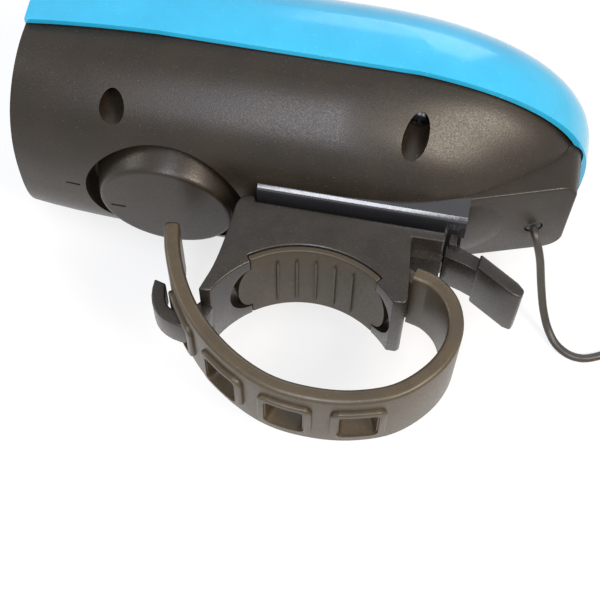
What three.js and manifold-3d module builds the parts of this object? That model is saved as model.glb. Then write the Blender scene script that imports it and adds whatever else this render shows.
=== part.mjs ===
// A bicycle handlebar lamp with a built-in horn, on its quick-release bar clamp.
//
// The lamp is drawn upright in "ride" axes: X runs from the lens to the rear end, Y runs along
// the handlebar, Z points up, and the handlebar's own centre is the origin. The whole assembly
// is then laid on its side, so that +Z of the finished part is the lamp's left side.
import * as THREE from "three";
import { mergeVertices } from "three/addons/utils/BufferGeometryUtils.js";
import Module from "manifold-3d";

const wasm = await Module();
wasm.setup();

// ---------------------------------------------------------------- driving dimensions, mm
const GAP = 0.3; // running and assembly clearance between neighbouring pieces

// Lamp body: a rounded hull round a centre line at HULL_Z
const HULL_Z = 45; // height of the widest line
const HULL_WIDE = 22; // half width of the lower shell
const HULL_DEEP = 19.7; // lower shell below the widest line
const HULL_HIGH = 15; // top shell above the widest line
const HULL_REAR = 38; // rear semi-axis of the lower shell
const FRONT_X = -50.3; // plane of the lens end
const NOSE_CUT = 24.7; // how much of the nose the lens end cuts off
const HULL_FRONT = NOSE_CUT - FRONT_X; // front semi-axis
const SIDE_FLAT = 0.6; // how far the sides are flattened
const WALL = 2; // shell wall
const SPLIT_Z = 43.4; // top edge of the lower shell
const SKIRT = 1.3; // how far the top shell stands outside the lower shell
const SKIRT_LAP = 1.4; // how far its skirt hangs below the lower shell's edge
const SEAL_THICK = 0.8;

// Slide rail and the plinth behind it, both moulded on the lower shell
const RAIL_WIDE = 9.5; // half width
const RAIL_FRONT = -11;
const RAIL_REAR = 21.5;
const RAIL_Z = 25.3; // underside of the rail
const LIP_THICK = 1.1; // the two lips that carry the bracket
const CHANNEL_WIDE = 7.6; // half width of the channel above the lips
const CHANNEL_HIGH = 1.7;
const SLOT_WIDE = 4.5; // half width of the slot between the lips
const PLINTH_REAR = 37.7;
const PLINTH_Z = 29.4; // its underside at the rail's end
const PLINTH_SLOPE = THREE.MathUtils.degToRad(18); // it rises to the rear
const PLINTH_CORNER = 5;

// Horn in the belly
const HORN_X = -25.8;
const CAP_FACE_Z = 24.4;
const CAP_FACE_R = 10.8;
const CAP_BASE_R = 12.2;
const CAP_HIGH = 4.9;
const POCKET_GAP = 0.7; // open ring round the cap, where the sound leaves
const HORN_MOUTH_R = 7.8;
const SOUNDER_R = 10;
const SOUNDER_THICK = 3;

// Case screws, two pairs
const SCREW_SPOTS = [
  [11.7, HULL_WIDE - 4.7],
  [-34.2, HULL_WIDE - 5],
];
const SCREW_R = 1.05;
const SCREW_HEAD_R = 1.85;
const SCREW_HEAD_THICK = 1.4;
const SCREW_SEAT_Z = 35.6;
const SCREW_TIP_Z = 50;
const POST_R = 3.4;

// Lamp optics
const BEAM_Z = 43.2;
const APERTURE_R = 11.5;
const BEZEL_THICK = 3.3;
const LENS_THICK = 1.5;
const REFLECTOR_DEEP = 10.6;
const LED_BOARD_CLEAR = 0.4; // over the horn's sounder

// Electronics
const CELL_R = 7.1;
const CELL_LONG = 50;
const CELL_Z = 45.2;
const BOARD_THICK = 1.2;
const BOARD_Z = 36; // underside of the main board
const BOARD_CLEAR = 0.2; // beside the board, inside the plinth
const BOARD_WIDE = RAIL_WIDE - WALL - BOARD_CLEAR;
const BOARD_FRONT = -10;
const USB_WIDE = 3.9;
const USB_HIGH = 2.8;
const BUTTON_X = -2;
const BUTTON_R = 4.6;
const BUTTON_PROUD = 1;
const BUTTON_TRAVEL = 0.5;
const FLANGE_ROOM = 0.6; // from the button's flange up to the roof's highest point
const WINDOW_X = 9;

// Bar clamp
const BAR_R = 15.9; // radius of a 31.8 mm handlebar
const SADDLE_R = BAR_R + GAP; // bare saddle of the bracket
const PAD_THICK = 1.4;
const PAD_REACH = THREE.MathUtils.degToRad(36); // the full-width pad, each way from the top
const TONGUE_REACH = THREE.MathUtils.degToRad(46); // its narrower tongues
const TONGUE_WIDE = 6;
const CLAMP_WIDE = 9; // half width of the bracket
const PLATE_Z = 23.4; // top of the bracket's plate
const HOOK_WIDE = 3.2; // half width of the hook that the strap buttons on
const STRAP_WIDE = 8; // half width
const STRAP_THICK = 2.4;
const STRAP_NECK = 6.3; // half width of the strap's root inside the bracket
const HOLE_LONG = 5.4; // strap holes, along and half across
const HOLE_WIDE = 3.6;
const RIM_WIDE = 1.3;
const RIM_PROUD = 0.7;
const HOLE_PITCH = 10.6;
const PIN_X = 10.9;
const PIN_Z = 18.3;
const PIN_R = 1.1;
const EYE_R = 2.5;
const MOUTH_Z = 14.6; // lowest point of the strap's line inside the bracket's mouth
const LEVER_WIDE = 4.5; // half width of the release lever's arm
const TAB_WIDE = 6; // half width of its finger tab

// Remote lead
const CORD_R = 0.7;
const GLAND_X = 32.5;
const GLAND_Y = 2;
const COIL_X = 68.7;
const COIL_Y = 2;
const COIL_R = 8; // middle of the turns
const COIL_TURNS_WIDE = 4;
const COIL_TURNS_HIGH = 2;
const TIE_THICK = 0.45;
const TIE_WIDE = 3;
const REMOTE_X = 76;
const REMOTE_Y = -24;
const REMOTE_LONG = 22;
const REMOTE_WIDE = 13;
const REMOTE_HIGH = 7.5; // housing above its rubber base
const REMOTE_BASE = 1.4;
const REMOTE_CORNER = 5;
const REMOTE_BUTTON_R = 4;

// ---------------------------------------------------------------- finishes
const finish = (color, roughness, metalness = 0) =>
  new THREE.MeshStandardMaterial({ color, roughness, metalness });
const blackShell = () => finish(0x2b2a2a, 0.5);
const blackGloss = () => finish(0x222224, 0.3);
const blackNylon = () => finish(0x33302d, 0.42);
const blackRubber = () => finish(0x2a2724, 0.62);
const cyanShell = () => finish(0x3fc4e6, 0.35);
const steel = () => finish(0xb9bcc0, 0.3, 1);
const aluminium = () => finish(0xc6c9cc, 0.4, 1);
const board = () => finish(0x1f5a3a, 0.5);

// ---------------------------------------------------------------- shaping helpers
const V2 = (x, y) => new THREE.Vector2(x, y);
const V3 = (x, y, z) => new THREE.Vector3(x, y, z);

/** A closed geometry as a manifold-3d solid. */
function solid(geometry) {
  const bare = geometry.clone();
  bare.deleteAttribute("normal");
  bare.deleteAttribute("uv");
  const merged = mergeVertices(bare, 1e-4);
  return new wasm.Manifold(
    new wasm.Mesh({
      numProp: 3,
      vertProperties: Float32Array.from(merged.attributes.position.array),
      triVerts: Uint32Array.from(merged.index.array),
    }),
  );
}

/** A block between two corners. */
function block(x0, x1, y0, y1, z0, z1) {
  const g = new THREE.BoxGeometry(x1 - x0, y1 - y0, z1 - z0);
  g.translate((x0 + x1) / 2, (y0 + y1) / 2, (z0 + z1) / 2);
  return solid(g);
}

/** An upright cylinder from z0 to z1. */
function post(x, y, r, z0, z1, sides = 16) {
  const g = new THREE.CylinderGeometry(r, r, z1 - z0, sides);
  g.rotateX(Math.PI / 2);
  g.translate(x, y, (z0 + z1) / 2);
  return solid(g);
}

/** A cylinder along X from x0 to x1, at height z. */
function rod(x0, x1, y, z, r, sides = 24) {
  const g = new THREE.CylinderGeometry(r, r, x1 - x0, sides);
  g.rotateZ(Math.PI / 2);
  g.translate((x0 + x1) / 2, y, z);
  return solid(g);
}

/** A cylinder along Y, centred on y = 0. */
function axle(x, z, r, half, sides = 24) {
  const g = new THREE.CylinderGeometry(r, r, 2 * half, sides);
  g.translate(x, 0, z);
  return solid(g);
}

/** A side view (x, z) made solid from y0 to y1. */
function sideSlab(shape, y0, y1, curveSegments = 16) {
  const g = new THREE.ExtrudeGeometry(shape, { depth: y1 - y0, bevelEnabled: false, curveSegments });
  g.rotateX(Math.PI / 2);
  g.translate(0, y1, 0);
  return solid(g);
}

/** A plan view (x, y) made solid from z0 to z1. */
function planSlab(shape, z0, z1, curveSegments = 8) {
  const g = new THREE.ExtrudeGeometry(shape, { depth: z1 - z0, bevelEnabled: false, curveSegments });
  g.translate(0, 0, z0);
  return solid(g);
}

/** A profile of [radius, height] turned about the Z axis through (x, y). */
function turned(profile, x, y, sides = 32) {
  const g = new THREE.LatheGeometry(profile.map(([r, h]) => V2(r, h)), sides);
  g.rotateX(Math.PI / 2);
  g.translate(x, y, 0);
  return solid(g);
}

/** A rounded rectangle outline. */
function roundedRect(x0, x1, y0, y1, r) {
  const s = new THREE.Shape();
  s.moveTo(x0 + r, y0);
  s.lineTo(x1 - r, y0);
  s.absarc(x1 - r, y0 + r, r, -Math.PI / 2, 0);
  s.lineTo(x1, y1 - r);
  s.absarc(x1 - r, y1 - r, r, 0, Math.PI / 2);
  s.lineTo(x0 + r, y1);
  s.absarc(x0 + r, y1 - r, r, Math.PI / 2, Math.PI);
  s.lineTo(x0, y0 + r);
  s.absarc(x0 + r, y0 + r, r, Math.PI, 1.5 * Math.PI);
  return s;
}

const polygon = (points) => new THREE.Shape(points.map(([x, y]) => V2(x, y)));

const BIG = 200;
const above = (s, z) => s.intersect(block(-BIG, BIG, -BIG, BIG, z, BIG));
const below = (s, z) => s.intersect(block(-BIG, BIG, -BIG, BIG, -BIG, z));
const joined = (list) => list.reduce((a, b) => a.add(b));
const cutBy = (s, list) => list.reduce((a, b) => a.subtract(b), s);

// ---------------------------------------------------------------- the hull
const SECTION_POWER = 2.5; // how square the cross-section is
const REAR_POWER = 2.3; // how blunt the rear end is
const FRONT_POWER = 3; // how late the nose starts to taper

/** Distance along a unit direction to the surface of the unit hull. */
function hullReach(dx, dy, dz) {
  const power = dx > 0 ? REAR_POWER : FRONT_POWER;
  const level = (t) =>
    Math.abs(dx * t) ** power +
    Math.abs(dy * t) ** SECTION_POWER +
    Math.abs(dz * t) ** SECTION_POWER;
  let inside = 0;
  let outside = 2;
  for (let i = 0; i < 30; i++) {
    const middle = (inside + outside) / 2;
    if (level(middle) < 1) inside = middle;
    else outside = middle;
  }
  return inside;
}

/** The lamp's hull grown by an offset, cut at the lens end and flattened at the sides. */
function hull(offset, frontX = FRONT_X, around = 32, along = 18) {
  const g = new THREE.SphereGeometry(1, around, along);
  g.rotateZ(Math.PI / 2); // poles at the nose and the rear
  const p = g.attributes.position;
  for (let i = 0; i < p.count; i++) {
    const [dx, dy, dz] = [p.getX(i), p.getY(i), p.getZ(i)];
    const t = hullReach(dx, dy, dz);
    const long = dx > 0 ? HULL_REAR : HULL_FRONT;
    const tall = dz > 0 ? HULL_HIGH - SKIRT : HULL_DEEP;
    p.setXYZ(
      i,
      dx * t * (long + offset),
      dy * t * (HULL_WIDE + offset),
      HULL_Z + dz * t * (tall + offset),
    );
  }
  const flat = HULL_WIDE - SIDE_FLAT + offset;
  return solid(g).intersect(block(frontX, BIG, -flat, flat, -BIG, BIG));
}

// ---------------------------------------------------------------- lower shell
const plinthZ = (x) => PLINTH_Z + (x - RAIL_REAR) * Math.tan(PLINTH_SLOPE);

/** Everything below the plinth's sloping underside, raised by an offset, behind the rail. */
function underPlinth(offset, fromX) {
  const rise = offset / Math.cos(PLINTH_SLOPE);
  const outline = polygon([
    [fromX, -50],
    [BIG, -50],
    [BIG, plinthZ(BIG) + rise],
    [fromX, plinthZ(fromX) + rise],
  ]);
  return sideSlab(outline, -BIG, BIG);
}

const pocketR = CAP_BASE_R + POCKET_GAP;
const pocketTop = CAP_FACE_Z + CAP_HIGH + GAP;
const hornDeckTop = pocketTop + WALL - 0.2;
const channelZ = RAIL_Z + LIP_THICK;
const channelTop = channelZ + CHANNEL_HIGH;
const railCeiling = channelTop + WALL;
const glandZ = plinthZ(GLAND_X);

/** A body of revolution on the gland's axis, square to the plinth's underside. */
function glandTurned(profile, sides = 24) {
  const g = new THREE.LatheGeometry(profile.map(([r, h]) => V2(r, h)), sides);
  g.rotateX(Math.PI / 2);
  g.rotateY(-PLINTH_SLOPE);
  g.translate(GLAND_X, GLAND_Y, glandZ);
  return solid(g);
}

const usbZ = BOARD_Z + BOARD_THICK + GAP;
const usbMiddle = usbZ + USB_HIGH / 2;
const COVER_WIDE = 6;
const COVER_HIGH = 4.8;
const COVER_THICK = 1;
const coverX = PLINTH_REAR - COVER_THICK;
const coverZ = usbMiddle - COVER_HIGH / 2;

/** The plinth as an upright block with round rear corners, grown by an offset. */
function plinthBlock(offset, z0, z1) {
  const side = RAIL_WIDE + offset;
  const plan = roundedRect(RAIL_REAR - 12, PLINTH_REAR + offset, -side, side, PLINTH_CORNER + offset);
  return planSlab(plan, z0, z1, 6);
}

function lowerShell() {
  const rail = block(RAIL_FRONT, RAIL_REAR, -RAIL_WIDE, RAIL_WIDE, RAIL_Z, railCeiling);
  const outer = below(hull(0), SPLIT_Z)
    .add(plinthBlock(0, PLINTH_Z - 4, SPLIT_Z))
    .subtract(underPlinth(0, RAIL_REAR))
    .add(rail);

  const posts = SCREW_SPOTS.flatMap(([x, y]) => [
    post(x, y, POST_R, 20, SPLIT_Z, 20),
    post(x, -y, POST_R, 20, SPLIT_Z, 20),
  ]);
  const boardPosts = [BOARD_FRONT + 3, RAIL_REAR - 4].flatMap((x) => [
    post(x, BOARD_WIDE - 2, 1.6, railCeiling - 1, BOARD_Z - GAP, 12),
    post(x, 2 - BOARD_WIDE, 1.6, railCeiling - 1, BOARD_Z - GAP, 12),
  ]);
  const kept = joined([
    rail,
    underPlinth(WALL, RAIL_REAR - WALL),
    post(HORN_X, 0, pocketR + WALL, 20, hornDeckTop, 32),
    ...posts,
    ...boardPosts,
  ]);
  const room = hull(-WALL, FRONT_X - 1)
    .add(plinthBlock(-WALL, PLINTH_Z, SPLIT_Z + 1))
    .subtract(kept);

  const bores = SCREW_SPOTS.flatMap(([x, y]) =>
    [y, -y].flatMap((side) => [
      post(x, side, SCREW_R + GAP, 20, BIG, 12),
      post(x, side, SCREW_HEAD_R + GAP, 20, SCREW_SEAT_Z + GAP),
    ]),
  );
  const notch = block(
    RAIL_REAR - 2.6,
    RAIL_REAR - 0.7,
    -TAB_WIDE - GAP,
    TAB_WIDE + GAP,
    RAIL_Z - 1,
    channelZ + 0.1,
  );
  return cutBy(outer, [
    room,
    block(RAIL_FRONT + WALL / 2, BIG, -CHANNEL_WIDE, CHANNEL_WIDE, channelZ, channelTop),
    block(RAIL_FRONT + WALL / 2, BIG, -SLOT_WIDE, SLOT_WIDE, RAIL_Z - 1, channelTop),
    notch,
    post(HORN_X, 0, pocketR, 10, pocketTop, 36),
    post(HORN_X, 0, HORN_MOUTH_R, 10, BIG, 24),
    ...bores,
    block(
      PLINTH_REAR - WALL - 1,
      BIG,
      -USB_WIDE - GAP,
      USB_WIDE + GAP,
      usbMiddle - USB_HIGH / 2 - GAP,
      usbMiddle + USB_HIGH / 2 + 2 * GAP,
    ),
    block(
      coverX - GAP,
      BIG,
      -COVER_WIDE - GAP,
      COVER_WIDE + GAP,
      coverZ - GAP,
      coverZ + COVER_HIGH + GAP,
    ),
    glandTurned([
      [0, -3],
      [GLAND_NECK_R + GAP, -3],
      [GLAND_NECK_R + GAP, 4],
      [0, 4],
    ]),
  ]);
}

const GLAND_NECK_R = 1.7;
const GLAND_FLANGE_R = 2.9;

// ---------------------------------------------------------------- top shell
const topInnerTop = HULL_Z + HULL_HIGH - WALL;
const ledgeZ = SPLIT_Z + SEAL_THICK + 2 * GAP;

function topShell() {
  const outer = above(hull(SKIRT), SPLIT_Z - SKIRT_LAP);
  const skirtRoom = below(hull(GAP, FRONT_X - 1), ledgeZ).add(
    plinthBlock(GAP, PLINTH_Z, SPLIT_Z + GAP),
  );
  const posts = SCREW_SPOTS.flatMap(([x, y]) =>
    [y, -y].map((side) => post(x, side, POST_R - 0.4, ledgeZ, SCREW_TIP_Z + 2)),
  );
  const buttonPosts = [-1, 1].flatMap((end) =>
    [-1, 1].map((side) =>
      post(BUTTON_X + end * 9, side * 6, 1.5, buttonBoardTop + GAP, BIG, 12),
    ),
  );
  const room = above(hull(SKIRT - WALL, FRONT_X - 1), ledgeZ - 1).subtract(
    joined([...posts, ...buttonPosts]),
  );
  const pilots = SCREW_SPOTS.flatMap(([x, y]) =>
    [y, -y].map((side) => post(x, side, SCREW_R + GAP, 20, SCREW_TIP_Z + 0.5, 12)),
  );
  return cutBy(outer, [
    skirtRoom,
    room,
    ...pilots,
    post(BUTTON_X, 0, BUTTON_R + GAP, topInnerTop - 3, BIG, 28),
    planSlab(windowPlan(GAP), topInnerTop - 3, BIG),
  ]);
}

const WINDOW_LONG = 7;
const WINDOW_WIDE = 2.4;
function windowPlan(offset) {
  const [long, wide] = [WINDOW_LONG / 2 + offset, WINDOW_WIDE / 2 + offset];
  return roundedRect(WINDOW_X - long, WINDOW_X + long, -wide, wide, wide - 0.05);
}

function statusWindow() {
  return planSlab(windowPlan(0), topInnerTop - 0.6, topInnerTop + WALL - 0.15);
}

function shellSeal() {
  const ring = hull(-0.5, FRONT_X).subtract(hull(-WALL + 0.3, FRONT_X - 1));
  return below(above(ring, SPLIT_Z + GAP), SPLIT_Z + GAP + SEAL_THICK)
    .subtract(block(-BIG, FRONT_X + BEZEL_THICK + 1, -BIG, BIG, -BIG, BIG));
}

// ---------------------------------------------------------------- switch gear
const buttonBoardZ = CELL_Z + CELL_R + 0.4;
const buttonBoardTop = buttonBoardZ + 1;
const switchTop = buttonBoardTop + GAP + 1.4;
const stubTop = switchTop + 0.6;

function powerButton() {
  const top = topInnerTop + WALL + BUTTON_PROUD;
  const flangeZ = stubTop + BUTTON_TRAVEL + 0.2;
  const flangeTop = topInnerTop - FLANGE_ROOM;
  return turned(
    [
      [0, flangeZ],
      [BUTTON_R + 0.9, flangeZ],
      [BUTTON_R + 0.9, flangeTop],
      [BUTTON_R, flangeTop],
      [BUTTON_R, top - 0.6],
      [BUTTON_R - 0.6, top],
      [0, top + 0.2],
    ],
    BUTTON_X,
    0,
  );
}

const buttonBoard = () =>
  block(BUTTON_X - 12, BUTTON_X + 12, -8.5, 8.5, buttonBoardZ, buttonBoardTop);

function tactSwitch() {
  const body = block(BUTTON_X - 3, BUTTON_X + 3, -3, 3, buttonBoardTop + GAP, switchTop);
  return body.add(post(BUTTON_X, 0, 1.7, switchTop - 0.1, stubTop, 16));
}

// ---------------------------------------------------------------- horn
function hornCap() {
  const base = CAP_FACE_Z + CAP_HIGH;
  return turned(
    [
      [0, CAP_FACE_Z],
      [CAP_FACE_R - 0.8, CAP_FACE_Z],
      [CAP_FACE_R - 0.2, CAP_FACE_Z + 0.25],
      [CAP_FACE_R + 0.2, CAP_FACE_Z + 0.8],
      [CAP_BASE_R - 0.3, base - 1.6],
      [CAP_BASE_R, base],
      [HORN_MOUTH_R - 0.4, base],
      [HORN_MOUTH_R - 0.4, hornDeckTop - GAP],
      [HORN_MOUTH_R - 1.8, hornDeckTop - GAP],
      [HORN_MOUTH_R - 1.8, base - 2],
      [0, base - 2],
    ],
    HORN_X,
    0,
  );
}

const gasketZ = hornDeckTop + GAP;
const sounderZ = gasketZ + 0.8 + GAP;
const ledBoardR = BEAM_Z - (sounderZ + SOUNDER_THICK) - LED_BOARD_CLEAR;

const hornGasket = () =>
  turned(
    [
      [HORN_MOUTH_R + 0.6, gasketZ],
      [SOUNDER_R, gasketZ],
      [SOUNDER_R, gasketZ + 0.8],
      [HORN_MOUTH_R + 0.6, gasketZ + 0.8],
      [HORN_MOUTH_R + 0.6, gasketZ],
    ],
    HORN_X,
    0,
    32,
  );

const hornSounder = () =>
  turned(
    [
      [0, sounderZ + 0.5],
      [SOUNDER_R - 3, sounderZ + 0.5],
      [SOUNDER_R - 2.5, sounderZ],
      [SOUNDER_R, sounderZ],
      [SOUNDER_R, sounderZ + SOUNDER_THICK - 0.4],
      [SOUNDER_R - 0.4, sounderZ + SOUNDER_THICK],
      [0, sounderZ + SOUNDER_THICK],
    ],
    HORN_X,
    0,
    32,
  );

// ---------------------------------------------------------------- optics, all turned about the beam
const bezelX = FRONT_X + 0.5;
const lensX = bezelX + BEZEL_THICK + GAP;
const reflectorX = lensX + LENS_THICK + GAP;
const ledBoardX = reflectorX + REFLECTOR_DEEP + GAP;
const heatSinkX = ledBoardX + BOARD_THICK + GAP;
const cellX = heatSinkX + 2.6 + GAP;

/** A profile of [radius, x] turned about the beam's axis. */
function beamTurned(profile, sides = 24) {
  const g = new THREE.LatheGeometry(profile.map(([r, x]) => V2(r, x)), sides);
  g.rotateZ(-Math.PI / 2);
  g.translate(0, 0, BEAM_Z);
  return solid(g);
}

function frontBezel() {
  const plate = hull(-WALL - GAP, bezelX).intersect(
    block(-BIG, bezelX + BEZEL_THICK, -BIG, BIG, -BIG, BIG),
  );
  return plate.subtract(
    beamTurned([
      [0, bezelX - 1],
      [APERTURE_R + 0.9, bezelX - 1],
      [APERTURE_R + 0.9, bezelX],
      [APERTURE_R, bezelX + 1.2],
      [APERTURE_R, bezelX + BEZEL_THICK + 1],
      [0, bezelX + BEZEL_THICK + 1],
    ]),
  );
}

const lens = () =>
  beamTurned([
    [0, lensX - 1.6],
    [4, lensX - 1.45],
    [8, lensX - 0.9],
    [APERTURE_R - GAP, lensX - GAP],
    [APERTURE_R - GAP, lensX],
    [APERTURE_R + 0.8, lensX],
    [APERTURE_R + 0.8, lensX + LENS_THICK],
    [0, lensX + LENS_THICK],
  ]);

function reflector() {
  const mouth = APERTURE_R + 0.5;
  const throat = 2.6;
  const steps = 6;
  const inside = [];
  const outside = [];
  for (let i = 0; i <= steps; i++) {
    const r = throat + ((mouth - 0.8 - throat) * i) / steps;
    const x = REFLECTOR_DEEP * (1 - ((r - throat) / (mouth - 0.8 - throat)) ** 2);
    inside.push([r, reflectorX + x]);
    outside.push([r + 0.8, reflectorX + x]);
  }
  return beamTurned([...inside, ...outside.reverse(), inside.at(0)]);
}

const ledBoard = () => rod(ledBoardX, ledBoardX + BOARD_THICK, 0, BEAM_Z, ledBoardR, 32);

const ledEmitter = () => rod(ledBoardX - GAP - 1.6, ledBoardX - GAP, 0, BEAM_Z, 1.9, 20);

function heatSink() {
  const plate = rod(heatSinkX, heatSinkX + 1.2, 0, BEAM_Z, ledBoardR, 32);
  const fins = [-4.5, -1.5, 1.5, 4.5].map((y) =>
    block(heatSinkX + 1.1, heatSinkX + 2.6, y - 0.4, y + 0.4, BEAM_Z - 5, BEAM_Z + 5),
  );
  return joined([plate, ...fins]);
}

// ---------------------------------------------------------------- battery and boards
function batteryCell() {
  const nub = rod(cellX, cellX + 1, 0, CELL_Z, 2.8, 20);
  return rod(cellX + 1, cellX + CELL_LONG, 0, CELL_Z, CELL_R, 32).add(nub);
}

const cellMiddle = cellX + CELL_LONG / 2;

function batteryCradle() {
  const foot = BOARD_Z + BOARD_THICK + GAP;
  return block(BOARD_FRONT + 1, RAIL_REAR - 3, -BOARD_WIDE, BOARD_WIDE, foot, CELL_Z - 3.5)
    .subtract(rod(cellX - 5, cellX + CELL_LONG + 5, 0, CELL_Z, CELL_R + GAP, 32));
}

const boardRear = PLINTH_REAR - WALL - 1.2;
const cornerCut = PLINTH_CORNER - WALL - 2 * GAP; // inside the plinth's round corner
function mainBoard() {
  const blank = block(
    BOARD_FRONT,
    boardRear,
    -BOARD_WIDE,
    BOARD_WIDE,
    BOARD_Z,
    BOARD_Z + BOARD_THICK,
  );
  return cutBy(blank, [
    post(boardRear, BOARD_WIDE, cornerCut, 0, BIG, 16),
    post(boardRear, -BOARD_WIDE, cornerCut, 0, BIG, 16),
    post(GLAND_X - 0.9, GLAND_Y, GLAND_FLANGE_R + 2 * GAP, 0, BIG),
  ]);
}

function usbSocket() {
  const mouth = PLINTH_REAR - WALL - GAP;
  const can = block(mouth - 6.5, mouth, -USB_WIDE, USB_WIDE, usbZ, usbZ + USB_HIGH);
  const room = block(mouth - 5.5, BIG, 0.5 - USB_WIDE, USB_WIDE - 0.5, usbZ + 0.5, usbZ + USB_HIGH - 0.5);
  const tongue = block(
    mouth - 6,
    mouth - 1,
    1 - USB_WIDE,
    USB_WIDE - 1,
    usbMiddle - 0.25,
    usbMiddle + 0.25,
  );
  return can.subtract(room).add(tongue);
}

function usbCover() {
  const plate = block(
    coverX,
    PLINTH_REAR + 0.2,
    -COVER_WIDE,
    COVER_WIDE,
    coverZ,
    coverZ + COVER_HIGH,
  );
  const nub = block(
    coverX - 0.8,
    coverX + 0.1,
    1.2 - USB_WIDE,
    USB_WIDE - 1.2,
    usbMiddle - 0.8,
    usbMiddle + 0.6,
  );
  return plate.add(nub);
}

const cableGland = () =>
  glandTurned([
    [0, 0],
    [GLAND_NECK_R - 0.3, 0],
    [GLAND_NECK_R, 0.3],
    [GLAND_NECK_R, WALL + GAP],
    [GLAND_FLANGE_R, WALL + GAP],
    [GLAND_FLANGE_R, WALL + GAP + 1],
    [0, WALL + GAP + 1],
  ]);

/** A pan-head screw with a cross recess, head down. */
function caseScrew(x, y) {
  const headZ = SCREW_SEAT_Z - SCREW_HEAD_THICK;
  const body = turned(
    [
      [0, headZ],
      [SCREW_HEAD_R - 0.5, headZ],
      [SCREW_HEAD_R, headZ + 0.6],
      [SCREW_HEAD_R, SCREW_SEAT_Z],
      [SCREW_R, SCREW_SEAT_Z],
      [SCREW_R, SCREW_TIP_Z - 0.8],
      [0, SCREW_TIP_Z],
    ],
    x,
    y,
    16,
  );
  return cutBy(body, [
    block(x - 1.1, x + 1.1, y - 0.25, y + 0.25, headZ - 1, headZ + 0.7),
    block(x - 0.25, x + 0.25, y - 1.1, y + 1.1, headZ - 1, headZ + 0.7),
  ]);
}

// ---------------------------------------------------------------- bar clamp
/** Part of a ring about the bar, from one angle to another, measured from the top towards +X. */
function arcBand(r0, r1, from, to) {
  const s = new THREE.Shape();
  const start = Math.PI / 2 - from;
  const end = Math.PI / 2 - to;
  s.absarc(0, 0, r1, start, end, true);
  s.absarc(0, 0, r0, end, start, false);
  return s;
}

function clampBracket() {
  // Side outline without the saddle, which is cut as a true arc
  const outline = new THREE.Shape();
  outline.moveTo(18.6, PLATE_Z);
  outline.lineTo(-10.8, PLATE_Z);
  outline.lineTo(-11.2, PLATE_Z + 0.9);
  outline.quadraticCurveTo(-13.4, PLATE_Z + 1.1, -13.7, PLATE_Z - 1.2);
  outline.quadraticCurveTo(-14.2, 14, -15.2, 10.6);
  outline.lineTo(-16.3, 7.2);
  outline.lineTo(-12, 2);
  outline.lineTo(12.2, 2);
  outline.lineTo(12.2, 10.4);
  outline.lineTo(13.8, 10.4);
  outline.quadraticCurveTo(14.6, 10.6, 14.5, 11.6);
  outline.lineTo(13.5, 21.7);
  outline.lineTo(18.6, 21.7);
  outline.closePath();
  const body = sideSlab(outline, -CLAMP_WIDE, CLAMP_WIDE);

  // The hook: out through the strap, over its raised rim and up again
  const far = -STRAP_THICK / 2;
  const hook = new THREE.Shape();
  hook.moveTo(-15.1, 10.4);
  hook.quadraticCurveTo(-16.4, 6.9, -19.2, 6.0);
  hook.quadraticCurveTo(far - 19.7, 5.7, far - 20.3, 6.9);
  hook.quadraticCurveTo(far - 21, 8.3, far - 21, 9.9);
  hook.lineTo(far - 22.9, 10.4);
  hook.quadraticCurveTo(far - 23.5, 4.1, -18.8, 3.3);
  hook.quadraticCurveTo(-15.6, 3.2, -14.4, 7.2);
  hook.closePath();

  const neck = block(
    RAIL_FRONT + WALL / 2 + GAP,
    RAIL_REAR - 4.5,
    -SLOT_WIDE + GAP,
    SLOT_WIDE - GAP,
    PLATE_Z - 1,
    channelTop - GAP,
  );
  const wings = block(
    RAIL_FRONT + WALL / 2 + GAP,
    RAIL_REAR - 4.5,
    -CHANNEL_WIDE + GAP,
    CHANNEL_WIDE - GAP,
    channelZ + GAP,
    channelTop - GAP,
  );
  const saddle = axle(0, 0, SADDLE_R, BIG / 2, 72);
  const recessR = BAR_R + PAD_THICK + GAP;
  const slack = GAP / BAR_R; // the same clearance as an angle
  const seat = arcBand(SADDLE_R - 2, recessR, -PAD_REACH - slack, PAD_REACH + slack);
  const tongueSeat = arcBand(SADDLE_R - 2, recessR, -TONGUE_REACH - slack, TONGUE_REACH + slack);
  const mouthLow = MOUTH_Z - STRAP_THICK / 2;
  const mouth = block(PIN_X, 20, -STRAP_NECK - GAP, STRAP_NECK + GAP, mouthLow, PIN_Z + STRAP_THICK / 2);
  return cutBy(joined([body, sideSlab(hook, -HOOK_WIDE, HOOK_WIDE), neck, wings]), [
    saddle,
    sideSlab(seat, -BIG, BIG, 16),
    sideSlab(tongueSeat, -TONGUE_WIDE - GAP, TONGUE_WIDE + GAP, 20),
    axle(PIN_X, PIN_Z, EYE_R + GAP, STRAP_NECK + GAP, 32),
    mouth,
    axle(PIN_X, PIN_Z, PIN_R + GAP, CLAMP_WIDE - 0.6),
  ]);
}

function barPad() {
  const outerR = BAR_R + PAD_THICK;
  const full = arcBand(BAR_R, outerR, -PAD_REACH, PAD_REACH);
  const lap = 0.01; // the tongues run this far into the full-width pad
  const tongues = [-1, 1].map((end) => {
    const [from, to] = [end * (PAD_REACH - lap), end * TONGUE_REACH].sort((a, b) => a - b);
    return sideSlab(arcBand(BAR_R, outerR, from, to), -TONGUE_WIDE, TONGUE_WIDE, 4);
  });
  return joined([sideSlab(full, -CLAMP_WIDE, CLAMP_WIDE, 16), ...tongues]);
}

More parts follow.
